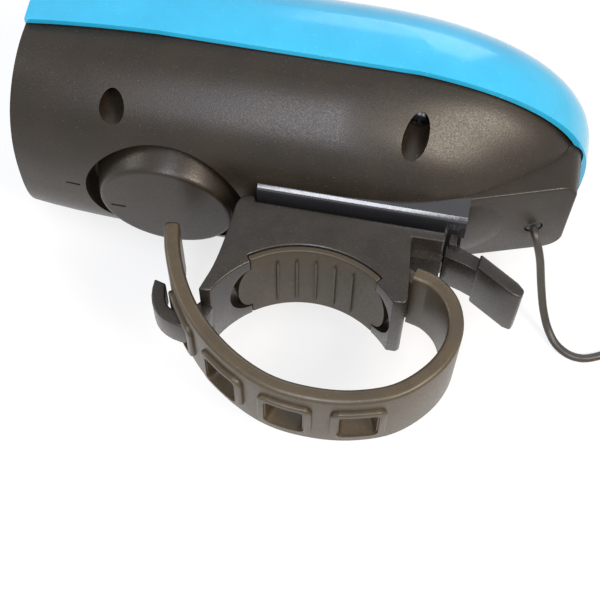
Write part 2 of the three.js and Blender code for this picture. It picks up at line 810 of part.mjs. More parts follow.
// The strap's middle line in side view, from its root at the pin round to its loose end
const STRAP_LINE = [
  [PIN_X, PIN_Z],
  [14.6, 16.5],
  [17.9, 15.5],
  [20.7, 13.1],
  [22.1, 9.5],
  [21.9, 5.9],
  [20.0, 1.8],
  [15.5, -2.6],
  [9.6, -4.9],
  [3.4, -5.6],
  [-3.1, -4.9],
  [-8.9, -2.4],
  [-14.0, 1.4],
  [-17.4, 5.2],
  [-20.0, 9.5],
  [-21.9, 14.3],
  [-22.8, 18.3],
];
const HOOKED_HOLE_X = -17.9; // the hole that the hook passes through

const strapCurve = new THREE.CatmullRomCurve3(
  STRAP_LINE.map(([x, z]) => V3(x, 0, z)),
  false,
  "centripetal",
);
const strapLong = strapCurve.getLength();

/** The strap's outline between two shares of its length, a given way either side of its line. */
function strapOutline(from, to, inward, outward, steps) {
  const inner = [];
  const outer = [];
  for (let i = 0; i <= steps; i++) {
    const u = from + ((to - from) * i) / steps;
    const p = strapCurve.getPointAt(u);
    const t = strapCurve.getTangentAt(u);
    inner.push([p.x + t.z * inward, p.z - t.x * inward]);
    outer.push([p.x - t.z * outward, p.z + t.x * outward]);
  }
  return polygon([...inner, ...outer.reverse()]);
}

/** The share of the strap's length at which it passes a given x on its way to the loose end. */
function strapShareAt(x) {
  let share = 1;
  while (strapCurve.getPointAt(share).x < x) share -= 0.002;
  return share;
}

/** A block centred on the strap's line and turned along it. */
function blockOnStrap(u, long, wide, inward, outward) {
  const p = strapCurve.getPointAt(u);
  const t = strapCurve.getTangentAt(u);
  const g = new THREE.BoxGeometry(long, 2 * wide, inward + outward);
  g.translate(0, 0, (outward - inward) / 2);
  g.rotateY(Math.atan2(-t.z, t.x));
  g.translate(p.x, 0, p.z);
  return solid(g);
}

function strap() {
  const half = STRAP_THICK / 2;
  const rootEnd = 4.6 / strapLong;
  const band = sideSlab(strapOutline(rootEnd, 1, half, half, 52), -STRAP_WIDE, STRAP_WIDE);
  const root = sideSlab(strapOutline(0.003, rootEnd + 0.02, half, half, 6), -STRAP_NECK, STRAP_NECK);
  const eye = axle(PIN_X, PIN_Z, EYE_R, STRAP_NECK, 28);
  const hooked = strapShareAt(HOOKED_HOLE_X);
  const holes = [0, 1, 2, 3].map((i) => hooked - (i * HOLE_PITCH) / strapLong);
  const rims = holes.map((u) =>
    blockOnStrap(u, HOLE_LONG + 2 * RIM_WIDE, HOLE_WIDE + RIM_WIDE, -half / 2, half + RIM_PROUD),
  );
  const cuts = holes.map((u) => blockOnStrap(u, HOLE_LONG, HOLE_WIDE, 5, 5));
  return cutBy(joined([band, root, eye, ...rims]), [...cuts, axle(PIN_X, PIN_Z, PIN_R + GAP, 20)]);
}

const strapPin = () => axle(PIN_X, PIN_Z, PIN_R, CLAMP_WIDE - 0.9);

function releaseLever() {
  const arm = polygon([
    [18.9, 23.5],
    [19.2, 24.1],
    [20.9, 24.1],
    [21.3, 23.6],
    [24.9, 22.2],
    [24.6, 19.8],
    [22.3, 20.7],
    [18.9, 21.7],
  ]);
  const tab = polygon([
    [24.4, 22.4],
    [30.6, 18.5],
    [31.7, 17.4],
    [31.2, 16.0],
    [29.9, 16.3],
    [24.1, 19.9],
  ]);
  const tooth = block(
    RAIL_REAR - 2.2,
    RAIL_REAR - 1,
    -TAB_WIDE,
    TAB_WIDE,
    23,
    RAIL_Z - GAP,
  );
  return joined([
    sideSlab(arm, -LEVER_WIDE, LEVER_WIDE),
    sideSlab(tab, -TAB_WIDE, TAB_WIDE),
    tooth,
  ]);
}

// ---------------------------------------------------------------- the lamp as a scene graph
const lamp = new THREE.Group();

function addPiece(parent, name, made, material) {
  const m = made.getMesh();
  const g = new THREE.BufferGeometry();
  g.setAttribute("position", new THREE.BufferAttribute(Float32Array.from(m.vertProperties), 3));
  g.setIndex(new THREE.BufferAttribute(Uint32Array.from(m.triVerts), 1));
  g.computeVertexNormals();
  const piece = new THREE.Mesh(g, material);
  piece.name = name;
  parent.add(piece);
  return piece;
}

const shells = new THREE.Group();
addPiece(shells, "lower_shell", lowerShell(), blackShell());
addPiece(shells, "top_shell", topShell(), cyanShell());
addPiece(shells, "shell_seal", shellSeal(), blackRubber());
addPiece(shells, "status_window", statusWindow(), finish(0xe8eef0, 0.2));
addPiece(shells, "power_button", powerButton(), blackRubber());
addPiece(shells, "usb_cover", usbCover(), blackRubber());
addPiece(shells, "cable_gland", cableGland(), blackRubber());
SCREW_SPOTS.forEach(([x, y], i) => {
  addPiece(shells, `case_screw_${2 * i + 1}`, caseScrew(x, -y), steel());
  addPiece(shells, `case_screw_${2 * i + 2}`, caseScrew(x, y), steel());
});

const optics = new THREE.Group();
addPiece(optics, "front_bezel", frontBezel(), blackGloss());
addPiece(optics, "lens", lens(), finish(0xdfe8ea, 0.05));
addPiece(optics, "reflector", reflector(), finish(0xe6e6e4, 0.08, 1));
addPiece(optics, "led_board", ledBoard(), aluminium());
addPiece(optics, "led_emitter", ledEmitter(), finish(0xf2e27a, 0.3));
addPiece(optics, "heat_sink", heatSink(), aluminium());

const electronics = new THREE.Group();
addPiece(electronics, "battery_cell", batteryCell(), finish(0x2f6fb5, 0.4));
addPiece(electronics, "battery_cradle", batteryCradle(), blackNylon());
addPiece(electronics, "main_board", mainBoard(), board());
addPiece(electronics, "usb_socket", usbSocket(), steel());
addPiece(electronics, "button_board", buttonBoard(), board());
addPiece(electronics, "tact_switch", tactSwitch(), finish(0x303236, 0.5));

const horn = new THREE.Group();
addPiece(horn, "horn_cap", hornCap(), blackShell());
addPiece(horn, "horn_gasket", hornGasket(), blackRubber());
addPiece(horn, "horn_sounder", hornSounder(), finish(0x202022, 0.45));

const clamp = new THREE.Group();
addPiece(clamp, "clamp_bracket", clampBracket(), blackNylon());
addPiece(clamp, "bar_pad", barPad(), blackRubber());
addPiece(clamp, "strap", strap(), blackRubber());
addPiece(clamp, "strap_pin", strapPin(), steel());
addPiece(clamp, "release_lever", releaseLever(), blackNylon());

lamp.add(shells, optics, electronics, horn, clamp);

// Laid on its side, which is as far from the lamp's middle as the top shell reaches. The finished
// part's origin is on the ground under this point of the lamp, near its middle.
const ORIGIN_X = -5.5;
const ORIGIN_Z = 27.2;
lamp.rotation.x = -Math.PI / 2;
lamp.position.set(-ORIGIN_X, -ORIGIN_Z, HULL_WIDE - SIDE_FLAT + SKIRT);

// ---------------------------------------------------------------- remote lead and its switch
// These lie on the ground beside the lamp, so they are drawn where they lie.
// The lead's middle line from the gland down to the ground and on to the coil
const LEAD_LINE = [
  [38.1, 5.5, 20.7],
  [38.5, 4.4, 20.5],
  [39.1, 3.6, 19.3],
  [40.2, 2.8, 15.7],
  [41.5, 1.4, 9.8],
  [42.9, -0.9, 5.1],
  [44.4, -2.9, 2.2],
  [46.1, -4.8, 1.0],
  [48.4, -6.2, 0.75],
  [50.8, -6.5, 0.75],
  [53.4, -5.6, 0.75],
  [55.7, -4.2, 0.75],
  [57.5, -2.0, 0.75],
];
// and from the coil to the remote switch
const TAIL_LINE = [
  [80.1, -1.0, 2.3],
  [80.3, -3.2, 1.5],
  [79.9, -5.6, 0.95],
  [78.7, -8.0, 0.95],
  [77.0, -10.2, 1.7],
  [76.0, -12.7, 2.3],
];

/** A round tube of the lead's diameter along a line of points. */
function leadTube(line, steps) {
  const path = new THREE.CatmullRomCurve3(line.map(([x, y, z]) => V3(x, y, z)));
  const round = new THREE.Shape();
  round.absarc(0, 0, CORD_R, 0, 2 * Math.PI);
  return solid(
    new THREE.ExtrudeGeometry(round, { steps, curveSegments: 4, extrudePath: path, bevelEnabled: false }),
  );
}

const coilLow = TIE_THICK + GAP;
const coilHigh = coilLow + COIL_TURNS_HIGH * 2 * CORD_R;
const coilIn = COIL_R - COIL_TURNS_WIDE * CORD_R;
const coilOut = COIL_R + COIL_TURNS_WIDE * CORD_R;

const cordCoil = () =>
  turned(
    [
      [coilIn, coilLow],
      [coilOut, coilLow],
      [coilOut, coilHigh],
      [coilIn, coilHigh],
      [coilIn, coilLow],
    ],
    COIL_X,
    COIL_Y,
    36,
  );

function coilTie() {
  const side = TIE_WIDE / 2;
  const reach = GAP + TIE_THICK;
  const near = Math.sqrt(coilIn ** 2 - side ** 2) - GAP; // clear of the coil's curved inner side
  const band = block(
    COIL_X - side,
    COIL_X + side,
    COIL_Y + near - TIE_THICK,
    COIL_Y + coilOut + reach,
    0,
    coilHigh + reach,
  );
  return band.subtract(
    block(
      COIL_X - side - 1,
      COIL_X + side + 1,
      COIL_Y + near,
      COIL_Y + coilOut + GAP,
      TIE_THICK,
      coilHigh + GAP,
    ),
  );
}

const remoteFloor = REMOTE_BASE + GAP;
const remoteTop = remoteFloor + REMOTE_HIGH;
function remotePlan(inset, corner) {
  const [wide, long] = [REMOTE_WIDE / 2 - inset, REMOTE_LONG / 2 - inset];
  return roundedRect(
    REMOTE_X - wide,
    REMOTE_X + wide,
    REMOTE_Y - long,
    REMOTE_Y + long,
    corner - inset,
  );
}

function remoteHousing() {
  const body = planSlab(remotePlan(0, REMOTE_CORNER), remoteFloor, remoteTop - 1, 4).add(
    planSlab(remotePlan(0.8, REMOTE_CORNER), remoteTop - 1.1, remoteTop, 4),
  );
  return cutBy(body, [
    planSlab(remotePlan(1.5, REMOTE_CORNER), remoteFloor - 1, remoteTop - 1.6, 4),
    post(REMOTE_X, REMOTE_Y, REMOTE_BUTTON_R + GAP, 0, BIG, 28),
  ]);
}

const remoteBase = () => planSlab(remotePlan(0.4, REMOTE_CORNER), 0, REMOTE_BASE, 4);

const remoteSwitchTop = remoteFloor + 3.5;
const remoteSwitch = () =>
  block(REMOTE_X - 3, REMOTE_X + 3, REMOTE_Y - 3, REMOTE_Y + 3, remoteFloor, remoteSwitchTop);

const remoteButton = () =>
  turned(
    [
      [0, remoteSwitchTop + BUTTON_TRAVEL + 0.2],
      [REMOTE_BUTTON_R, remoteSwitchTop + BUTTON_TRAVEL + 0.2],
      [REMOTE_BUTTON_R, remoteTop + 0.8],
      [REMOTE_BUTTON_R - 0.8, remoteTop + 1.5],
      [0, remoteTop + 1.7],
    ],
    REMOTE_X,
    REMOTE_Y,
    28,
  );

const remote = new THREE.Group();
addPiece(remote, "remote_lead", leadTube(LEAD_LINE, 24), blackRubber());
addPiece(remote, "lead_coil", cordCoil(), blackRubber());
addPiece(remote, "coil_tie", coilTie(), blackNylon());
addPiece(remote, "remote_tail", leadTube(TAIL_LINE, 8), blackRubber());
addPiece(remote, "remote_housing", remoteHousing(), blackShell());
addPiece(remote, "remote_base", remoteBase(), blackRubber());
addPiece(remote, "remote_switch", remoteSwitch(), finish(0x303236, 0.5));
addPiece(remote, "remote_button", remoteButton(), finish(0xc8322b, 0.5));

const object = new THREE.Group();
object.add(lamp, remote);

export default object;
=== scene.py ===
# %% [markdown]
# # A bicycle lamp with a horn, on its handlebar clamp
#
# The lamp lies on its left side. Its case is two moulded shells, black below and cyan above. A twist
# cap covers the horn in its belly, a rail carries a slide-off bracket, and a rubber ladder strap hooks
# round the handlebar. A thin lead runs to a remote horn switch.
#
# A size that its boxes can't tell is a named value here. This cell loads the model.

# %% Load the frame
import math

import bmesh
import bpy
from mathutils import Matrix, Vector


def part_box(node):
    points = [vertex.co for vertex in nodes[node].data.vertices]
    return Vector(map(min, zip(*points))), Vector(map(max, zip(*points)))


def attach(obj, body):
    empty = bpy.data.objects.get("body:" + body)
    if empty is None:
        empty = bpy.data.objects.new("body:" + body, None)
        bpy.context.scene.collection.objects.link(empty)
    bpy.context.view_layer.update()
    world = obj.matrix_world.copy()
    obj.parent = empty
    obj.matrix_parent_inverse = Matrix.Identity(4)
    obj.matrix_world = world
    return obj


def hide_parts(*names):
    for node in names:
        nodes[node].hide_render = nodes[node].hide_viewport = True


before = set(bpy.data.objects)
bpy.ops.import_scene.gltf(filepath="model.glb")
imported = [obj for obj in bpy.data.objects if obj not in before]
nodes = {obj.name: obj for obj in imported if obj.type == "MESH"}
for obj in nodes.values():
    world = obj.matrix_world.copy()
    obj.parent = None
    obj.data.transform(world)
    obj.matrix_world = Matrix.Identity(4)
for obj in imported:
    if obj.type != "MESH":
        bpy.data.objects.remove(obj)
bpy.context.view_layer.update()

# %% [markdown]
# ## The camera
#
# The camera looks down on the lamp from the front. Its place and its three axes are written out
# because the view is rolled a little, which a simple aim at a target would lose.

# %% Camera
CAMERA_AT = Vector((0.018928, -0.106347, 0.218281))
RIGHT = Vector((0.98362252, 0.18007998, 0.00761198))
UP = Vector((-0.16590908, 0.88809938, 0.42866499))
BACK = Vector((0.07043379, -0.42290743, 0.90343145))

camera_data = bpy.data.cameras.new("camera")
camera_data.lens = 84
camera_data.sensor_width = 36
camera = bpy.data.objects.new("camera", camera_data)
bpy.context.scene.collection.objects.link(camera)
turn = Matrix((RIGHT, UP, BACK)).transposed()
camera.matrix_world = Matrix.Translation(CAMERA_AT) @ turn.to_4x4()
bpy.context.scene.camera = camera
print("camera at", [round(v, 3) for v in CAMERA_AT], "with an", camera_data.lens, "mm lens")

# %% [markdown]
# ## Colours and nodes
#
# Colours are written as the hex values a maker would read off a chart. Blender's shaders work in
# linear light, so one function turns hex to linear. A second small function adds a shader node with
# its settings and links, which keeps each material down to a few lines.

# %% Helpers for materials
def linear(hex_code, alpha=1.0):
    """An sRGB hex colour as linear red, green, blue and alpha."""
    channels = [int(hex_code[i : i + 2], 16) / 255 for i in (1, 3, 5)]
    turned = [c / 12.92 if c <= 0.04045 else ((c + 0.055) / 1.055) ** 2.4 for c in channels]
    return (*turned, alpha)


def add(tree, kind, settings=None, inputs=None):
    """Add a shader node. An input is a value, or another node's output to link."""
    made = tree.nodes.new("ShaderNode" + kind)
    for name, value in (settings or {}).items():
        setattr(made, name, value)
    for socket, value in (inputs or {}).items():
        if isinstance(value, bpy.types.NodeSocket):
            tree.links.new(value, made.inputs[socket])
        else:
            made.inputs[socket].default_value = value
    return made


def new_material(name):
    """An empty node material, with its tree and its output node."""
    made = bpy.data.materials.new(name)
    made.use_nodes = True
    made.node_tree.nodes.clear()
    return made, made.node_tree, made.node_tree.nodes.new("ShaderNodeOutputMaterial")


def grain_size(mm):
    """The noise scale at which one blob is about this many millimetres across."""
    return 1 / (mm * 0.001)


# %% [markdown]
# ## Moulded plastics and rubbers
#
# Nearly everything here is injection moulded, and the tool's surface is what the eye reads. A
# spark-eroded tool leaves a fine, even grain that scatters light and sparkles; a polished tool leaves
# gloss; rubber comes out satin and picks up dust. One function makes them all: a fine grain in the
# bump, a broad cloud in the colour for handling marks, and light specks for dust.

# %% Moulded finish
def moulded(
    name,
    colour,
    cloud_colour,
    roughness,
    grain_mm,
    grain_depth_mm,
    spread=0.06,
    specular=0.5,
    cloud_mm=9,
    speck_mm=0.5,
    dust=0.25,
    dust_from=0.7,
    dust_colour="#8b8378",
    coat=0.0,
):
    """A moulded plastic or rubber, with its grain, cloud and speck sizes in millimetres."""
    made, tree, output = new_material(name)
    where = add(tree, "TexCoord").outputs["Object"]
    cloud = add(
        tree,
        "TexNoise",
        inputs={"Vector": where, "Scale": grain_size(cloud_mm), "Detail": 4.0, "Roughness": 0.6},
    )
    clouded = add(
        tree, "MapRange", inputs={"Value": cloud.outputs["Fac"], "From Min": 0.35, "From Max": 0.65}
    )
    shade = add(
        tree,
        "Mix",
        {"data_type": "RGBA"},
        {0: clouded.outputs["Result"], 6: linear(colour), 7: linear(cloud_colour)},
    )
    speck = add(tree, "TexNoise", inputs={"Vector": where, "Scale": grain_size(speck_mm), "Detail": 1.0})
    dusted = add(
        tree,
        "MapRange",
        inputs={"Value": speck.outputs["Fac"], "From Min": dust_from, "From Max": 0.8, "To Max": dust},
    )
    dusty = add(
        tree,
        "Mix",
        {"data_type": "RGBA"},
        {0: dusted.outputs["Result"], 6: shade.outputs[2], 7: linear(dust_colour)},
    )
    grain = add(
        tree,
        "TexNoise",
        inputs={"Vector": where, "Scale": grain_size(grain_mm), "Detail": 2.0, "Roughness": 0.65},
    )
    gloss = add(
        tree,
        "MapRange",
        inputs={
            "Value": grain.outputs["Fac"],
            "From Min": 0.3,
            "From Max": 0.7,
            "To Min": roughness - spread,
            "To Max": roughness + spread,
        },
    )
    bump = add(
        tree,
        "Bump",
        inputs={"Strength": 1.0, "Distance": grain_depth_mm * 0.001, "Height": grain.outputs["Fac"]},
    )
    shader = add(
        tree,
        "BsdfPrincipled",
        inputs={
            "Base Color": dusty.outputs[2],
            "Roughness": gloss.outputs["Result"],
            "IOR": 1.5,
            "Specular IOR Level": specular,
            "Coat Weight": coat,
            "Coat Roughness": 0.1,
            "Normal": bump.outputs["Normal"],
        },
    )
    tree.links.new(shader.outputs[0], output.inputs["Surface"])
    return made


# %% [markdown]
# The black ABS of the case has a fine spark-eroded grain, about 0.3 mm across as drawn, which is a
# little coarser than the tool's real grit so that it shows, and a slight warm brown tint that is a
# painted golden reflection from below. The slide rail comes off a polished insert in the same tool,
# and its cooler, lighter grey is a painted bluish sheen. The bracket and lever are glass-filled nylon,
# which never gets fully glossy, with the same painted warm tint. The strap and pad are silicone rubber
# with a satin sheen, black with a warm brownish tint that is a painted golden reflection from below.
#
# The cyan cover is ABS from a polished tool with a clear coat over it, which gives a second, sharper
# highlight. The buttons, the flap and the remote's foot are plain rubber, nearly matt. The cord's PVC
# jacket is smoother than rubber and a little glossy, and so is the shrink sleeve round the cell.

# %% Plastics and rubbers
# The warm brown tint in this black is a painted golden reflection from below.
spark_eroded_abs = moulded(
    "spark_eroded_abs",
    "#1f1a14",
    "#28211a",
    0.36,
    0.3,
    0.012,
    spread=0.08,
    specular=0.36,
    speck_mm=0.22,
    dust=0.3,
)
# The rail's gloss is real polish, and its grey, cooler and lighter than the case's black, is a painted
# bluish sheen.
polished_abs_painted_sheen = moulded(
    "polished_abs_painted_sheen",
    "#26272b",
    "#2c2d31",
    0.13,
    0.8,
    0.002,
    spread=0.04,
    specular=0.7,
    speck_mm=0.3,
    dust=0.1,
)
bezel_abs = moulded("bezel_gloss_abs", "#1d1d1f", "#232325", 0.2, 0.6, 0.003, dust=0.1)
# The warm brown tint in this black nylon is a painted golden reflection from below.
filled_nylon = moulded(
    "glass_filled_nylon",
    "#201c18",
    "#2b2621",
    0.29,
    0.5,
    0.005,
    spread=0.05,
    specular=0.42,
    cloud_mm=4,
    speck_mm=0.25,
    dust=0.3,
)
# The warm brownish tint of this black rubber is a painted golden reflection from below.
strap_silicone = moulded(
    "strap_silicone",
    "#3b3223",
    "#473c2a",
    0.38,
    0.4,
    0.008,
    cloud_mm=6,
    speck_mm=0.25,
    dust=0.35,
    dust_from=0.68,
)
# The pad's brownish tint over black rubber is a painted golden reflection from below.
pad_silicone = moulded(
    "pad_silicone", "#2c2415", "#352b19", 0.5, 0.5, 0.008, speck_mm=0.3, dust=0.15
)
soft_rubber = moulded("button_rubber", "#222224", "#29292b", 0.55, 0.3, 0.01, dust=0.2)
cyan_abs = moulded(
    "cyan_gloss_abs",
    "#22a6d2",
    "#2aaeda",
    0.22,
    1.5,
    0.003,
    dust=0.12,
    dust_colour="#d8f4fb",
    coat=0.5,
)
red_silicone = moulded("red_silicone", "#a01f1c", "#aa2825", 0.5, 0.4, 0.01, dust=0.15)
cord_jacket = moulded(
    "cord_jacket_pvc", "#2e2a26", "#38332d", 0.4, 0.5, 0.006, cloud_mm=5, dust=0.2
)
phenolic = moulded("phenolic", "#2a2a2d", "#303034", 0.45, 0.5, 0.006)
shrink_sleeve = moulded("shrink_sleeve_pvc", "#2a63a8", "#2f6bb3", 0.3, 1.2, 0.01)
solder_mask = moulded("solder_mask", "#1c5a3a", "#20623f", 0.35, 0.8, 0.008, cloud_mm=3)
print("moulded materials:", len(bpy.data.materials))

# %% [markdown]
# ## Metals and clear parts
#
# Metals keep the default IOR and take their look from colour and roughness. Rolled and turned metal
# shows fine directional lines, so the noise is stretched along one axis. The lens is clear
# polycarbonate, the window a frosted light pipe, and the reflector is vacuum-metallised plastic.

# %% Metals, glass and lamp parts
LINE_SQUEEZE = (1, 1, 12)  # the noise is squeezed this many times along each axis


def metal(name, colour, roughness, line_mm):
    """A metal with fine lines that all run one way."""
    made, tree, output = new_material(name)
    where = add(tree, "TexCoord").outputs["Object"]
    squeezed = add(tree, "Mapping", inputs={"Vector": where, "Scale": LINE_SQUEEZE})
    lines = add(
        tree,
        "TexNoise",
        inputs={"Vector": squeezed.outputs["Vector"], "Scale": grain_size(line_mm), "Detail": 3.0},
    )
    gloss = add(
        tree,
        "MapRange",
        inputs={
            "Value": lines.outputs["Fac"],
            "From Min": 0.3,
            "From Max": 0.7,
            "To Min": roughness - 0.06,
            "To Max": roughness + 0.08,
        },
    )
    bump = add(
        tree, "Bump", inputs={"Strength": 1.0, "Distance": 0.000004, "Height": lines.outputs["Fac"]}
    )
    shader = add(
        tree,
        "BsdfPrincipled",
        inputs={
            "Base Color": linear(colour),
            "Metallic": 1.0,
            "Roughness": gloss.outputs["Result"],
            "Normal": bump.outputs["Normal"],
        },
    )
    tree.links.new(shader.outputs[0], output.inputs["Surface"])
    return made


def clear_plastic(name, colour, roughness, ior, through):
    """A clear or frosted plastic with faint moulding swirls."""
    made, tree, output = new_material(name)
    where = add(tree, "TexCoord").outputs["Object"]
    swirl = add(tree, "TexNoise", inputs={"Vector": where, "Scale": grain_size(6), "Detail": 2.0})
    bump = add(
        tree, "Bump", inputs={"Strength": 0.4, "Distance": 0.00002, "Height": swirl.outputs["Fac"]}
    )
    shader = add(
        tree,
        "BsdfPrincipled",
        inputs={
            "Base Color": linear(colour),
            "Roughness": roughness,
            "IOR": ior,
            "Transmission Weight": through,
            "Normal": bump.outputs["Normal"],
        },
    )
    tree.links.new(shader.outputs[0], output.inputs["Surface"])
    return made


zinc_steel = metal("zinc_plated_steel", "#c3c5c8", 0.26, 1.2)
black_zinc = metal("black_zinc_steel", "#3d3d40", 0.34, 0.8)
turned_aluminium = metal("turned_aluminium", "#cfd1d3", 0.32, 0.9)
metallised = metal("vacuum_metallised", "#e9e9e6", 0.1, 3.0)
polycarbonate = clear_plastic("clear_polycarbonate", "#f4f8f9", 0.03, 1.58, 1.0)
light_pipe = clear_plastic("frosted_light_pipe", "#dfe6e8", 0.45, 1.49, 0.5)
phosphor = moulded("led_phosphor", "#e6c84e", "#ecd25e", 0.35, 0.3, 0.004, dust=0.0)
print("all materials:", len(bpy.data.materials))

# %% [markdown]
# ## Finishing a piece
#
# Pieces are modelled upright, in millimetres, with the handlebar's centre as the origin: X runs to
# the rear, Y along the bar and Z up. This matches how the lamp is ridden and keeps numbers simple.
# The lamp itself lies on its side, so each finished mesh is laid down and moved into the frame. The
# origin is read from the bar pad, whose top is one pad radius above the bar's centre.

# %% Lay a piece down and hand it over
MM = 0.001
PAD_R = 17.3  # outside of the bar pad

pad_low, pad_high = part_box("bar_pad")
bar_centre = Vector(((pad_low.x + pad_high.x) / 2, pad_high.y - PAD_R * MM, (pad_low.z + pad_high.z) / 2))
LAID = Matrix.Translation(bar_centre) @ Matrix.Rotation(math.radians(-90), 4, "X") @ Matrix.Scale(MM, 4)
UPRIGHT = LAID.inverted()


def upright_box(node):
    """A CAD node's lowest and highest corners in upright millimetres."""
    corners = [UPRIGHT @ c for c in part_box(node)]
    low = Vector(min(c[i] for c in corners) for i in range(3))
    high = Vector(max(c[i] for c in corners) for i in range(3))
    return low, high


def shaded(mesh, sharp_degrees):
    """Smooth shading, broken at edges sharper than this."""
    for face in mesh.polygons:
        face.use_smooth = True
    mesh.set_sharp_from_angle(angle=math.radians(sharp_degrees))


def finished(name, bm, body, material, replaced, sharp_degrees=35, laid=True):
    """Turn a bmesh into a finished piece that rides on a body and stands for CAD nodes.

    Doubles, slivers and edges that a cut leaves without a face are cleaned away first.
    """
    bmesh.ops.remove_doubles(bm, verts=bm.verts, dist=1e-4)
    bmesh.ops.dissolve_degenerate(bm, edges=bm.edges, dist=1e-5)
    bmesh.ops.delete(bm, geom=[e for e in bm.edges if not e.link_faces], context="EDGES")
    bmesh.ops.recalc_face_normals(bm, faces=bm.faces)
    if laid:
        bm.transform(LAID)
    mesh = bpy.data.meshes.new(name)
    bm.to_mesh(mesh)
    bm.free()
    shaded(mesh, sharp_degrees)
    piece = bpy.data.objects.new(name, mesh)
    bpy.context.scene.collection.objects.link(piece)
    mesh.materials.append(material)
    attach(piece, body)
    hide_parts(*replaced)
    print(f"{name}: {len(mesh.polygons)} faces")
    return piece


# %% [markdown]
# ## The remote lead
#
# The lead is one thin PVC cord, 1.4 mm across. It comes square out of the gland, falls to the
# ground in an easy curve and runs off to the right. The length that isn't needed is wound in two
# flat layers, held by a tie, and its end goes into the remote switch. A real cord keeps its length,
# so it is one open curve with a round bevel, and the coil's turns are worked out by a loop: in along
# a spiral on the ground, up by one diameter, and out again on top.

# %% The lead's route
CORD_R = 0.7
LEAD_LINE = [  # from the gland down to the ground and on to the coil, mm
    (38.1, 5.5, 20.7),
    (38.5, 4.4, 20.5),
    (39.1, 3.6, 19.3),
    (40.2, 2.8, 15.7),
    (41.5, 1.4, 9.8),
    (42.9, -0.9, 5.1),
    (44.4, -2.9, 2.2),
    (46.1, -4.8, 1.0),
    (48.4, -6.2, 0.75),
    (50.8, -6.5, 0.75),
    (53.4, -5.6, 0.75),
    (55.7, -4.2, 0.75),
    (57.5, -2.0, 0.75),
]
TAIL_LINE = [  # from the coil to the remote switch, mm
    (80.1, -1.0, 2.3),
    (80.3, -3.2, 1.5),
    (79.9, -5.6, 0.95),
    (78.7, -8.0, 0.95),
    (77.0, -10.2, 1.7),
    (76.0, -12.7, 2.3),
]
TURNS_A_LAYER = 3
STEPS_A_TURN = 28
COIL_STEPS = TURNS_A_LAYER * STEPS_A_TURN
JOIN_STEPS = 3  # of the coil's first turn, left to the curve that joins on
RISE_TURNS, RISE_STEPS = 0.45, 12  # the climb to the upper layer, at the inside


def spline(points, per_span):
    """A centripetal Catmull-Rom curve through the points, with this many steps a span."""
    p = [Vector(q) for q in points]
    p = [2 * p[0] - p[1], *p, 2 * p[-1] - p[-2]]
    line = []
    for a, b, c, d in zip(p, p[1:], p[2:], p[3:]):
        t1 = (b - a).length ** 0.5
        t2 = t1 + (c - b).length ** 0.5
        t3 = t2 + (d - c).length ** 0.5
        for i in range(per_span):
            t = t1 + (t2 - t1) * i / per_span
            ab = a.lerp(b, t / t1)
            bc = b.lerp(c, (t - t1) / (t2 - t1))
            cd = c.lerp(d, (t - t2) / (t3 - t2))
            abc = ab.lerp(bc, t / t2)
            bcd = bc.lerp(cd, (t - t1) / (t3 - t1))
            line.append(abc.lerp(bcd, (t - t1) / (t2 - t1)))
    return [*line, p[-2]]


coil_low, coil_high = (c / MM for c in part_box("lead_coil"))
coil_x, coil_y = (coil_low.x + coil_high.x) / 2, (coil_low.y + coil_high.y) / 2
outer_turn = (coil_high.x - coil_low.x) / 2 - CORD_R
inner_turn = outer_turn - 2 * CORD_R * TURNS_A_LAYER
low_z, high_z = coil_low.z + CORD_R, coil_high.z - CORD_R


def on_coil(turns, radius, z):
    """A point on the coil, so many turns clockwise from its left side."""
    angle = math.pi - 2 * math.pi * turns
    return Vector((coil_x + radius * math.cos(angle), coil_y + radius * math.sin(angle), z))


coil_line = []
for i in range(JOIN_STEPS, COIL_STEPS):
    share = i / COIL_STEPS
    radius = outer_turn + (inner_turn - outer_turn) * share
    coil_line.append(on_coil(share * TURNS_A_LAYER, radius, low_z))
for i in range(RISE_STEPS):
    share = i / RISE_STEPS
    ease = share * share * (3 - 2 * share)
    climb = low_z + (high_z - low_z) * ease
    coil_line.append(on_coil(TURNS_A_LAYER + share * RISE_TURNS, inner_turn, climb))
for i in range(COIL_STEPS):
    share = i / COIL_STEPS
    turns = TURNS_A_LAYER + RISE_TURNS + share * TURNS_A_LAYER
    radius = inner_turn + (outer_turn - inner_turn) * share
    coil_line.append(on_coil(turns, radius, high_z))

whole_line = spline([*LEAD_LINE, *coil_line, *TAIL_LINE], 4)

# %% The lead
lead_curve = bpy.data.curves.new("horn_lead", "CURVE")
lead_curve.dimensions = "3D"
lead_curve.bevel_depth = CORD_R * MM
lead_curve.bevel_resolution = 3
lead_curve.use_fill_caps = True
lead_spline = lead_curve.splines.new("POLY")
lead_spline.points.add(len(whole_line) - 1)
for knot, place in zip(lead_spline.points, whole_line):
    knot.co = (*(place * MM), 1)
    knot.radius = 1
lead_spline.use_smooth = True
horn_lead = bpy.data.objects.new("horn_lead", lead_curve)
bpy.context.scene.collection.objects.link(horn_lead)
lead_curve.materials.append(cord_jacket)
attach(horn_lead, "lamp")
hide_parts("remote_lead", "lead_coil", "remote_tail")

# %% [markdown]
# ## Shapes that many pieces share
#
# A few short helpers wrap the bmesh operators. A side view or a plan is a handful of vertices made
# into one face and extruded; a turned part is an edge chain spun all the way round; a block is
# Blender's own cube, scaled. Cutting uses a Boolean modifier, applied at once, because a pocket
# that follows a curved case can't be made by extruding alone.

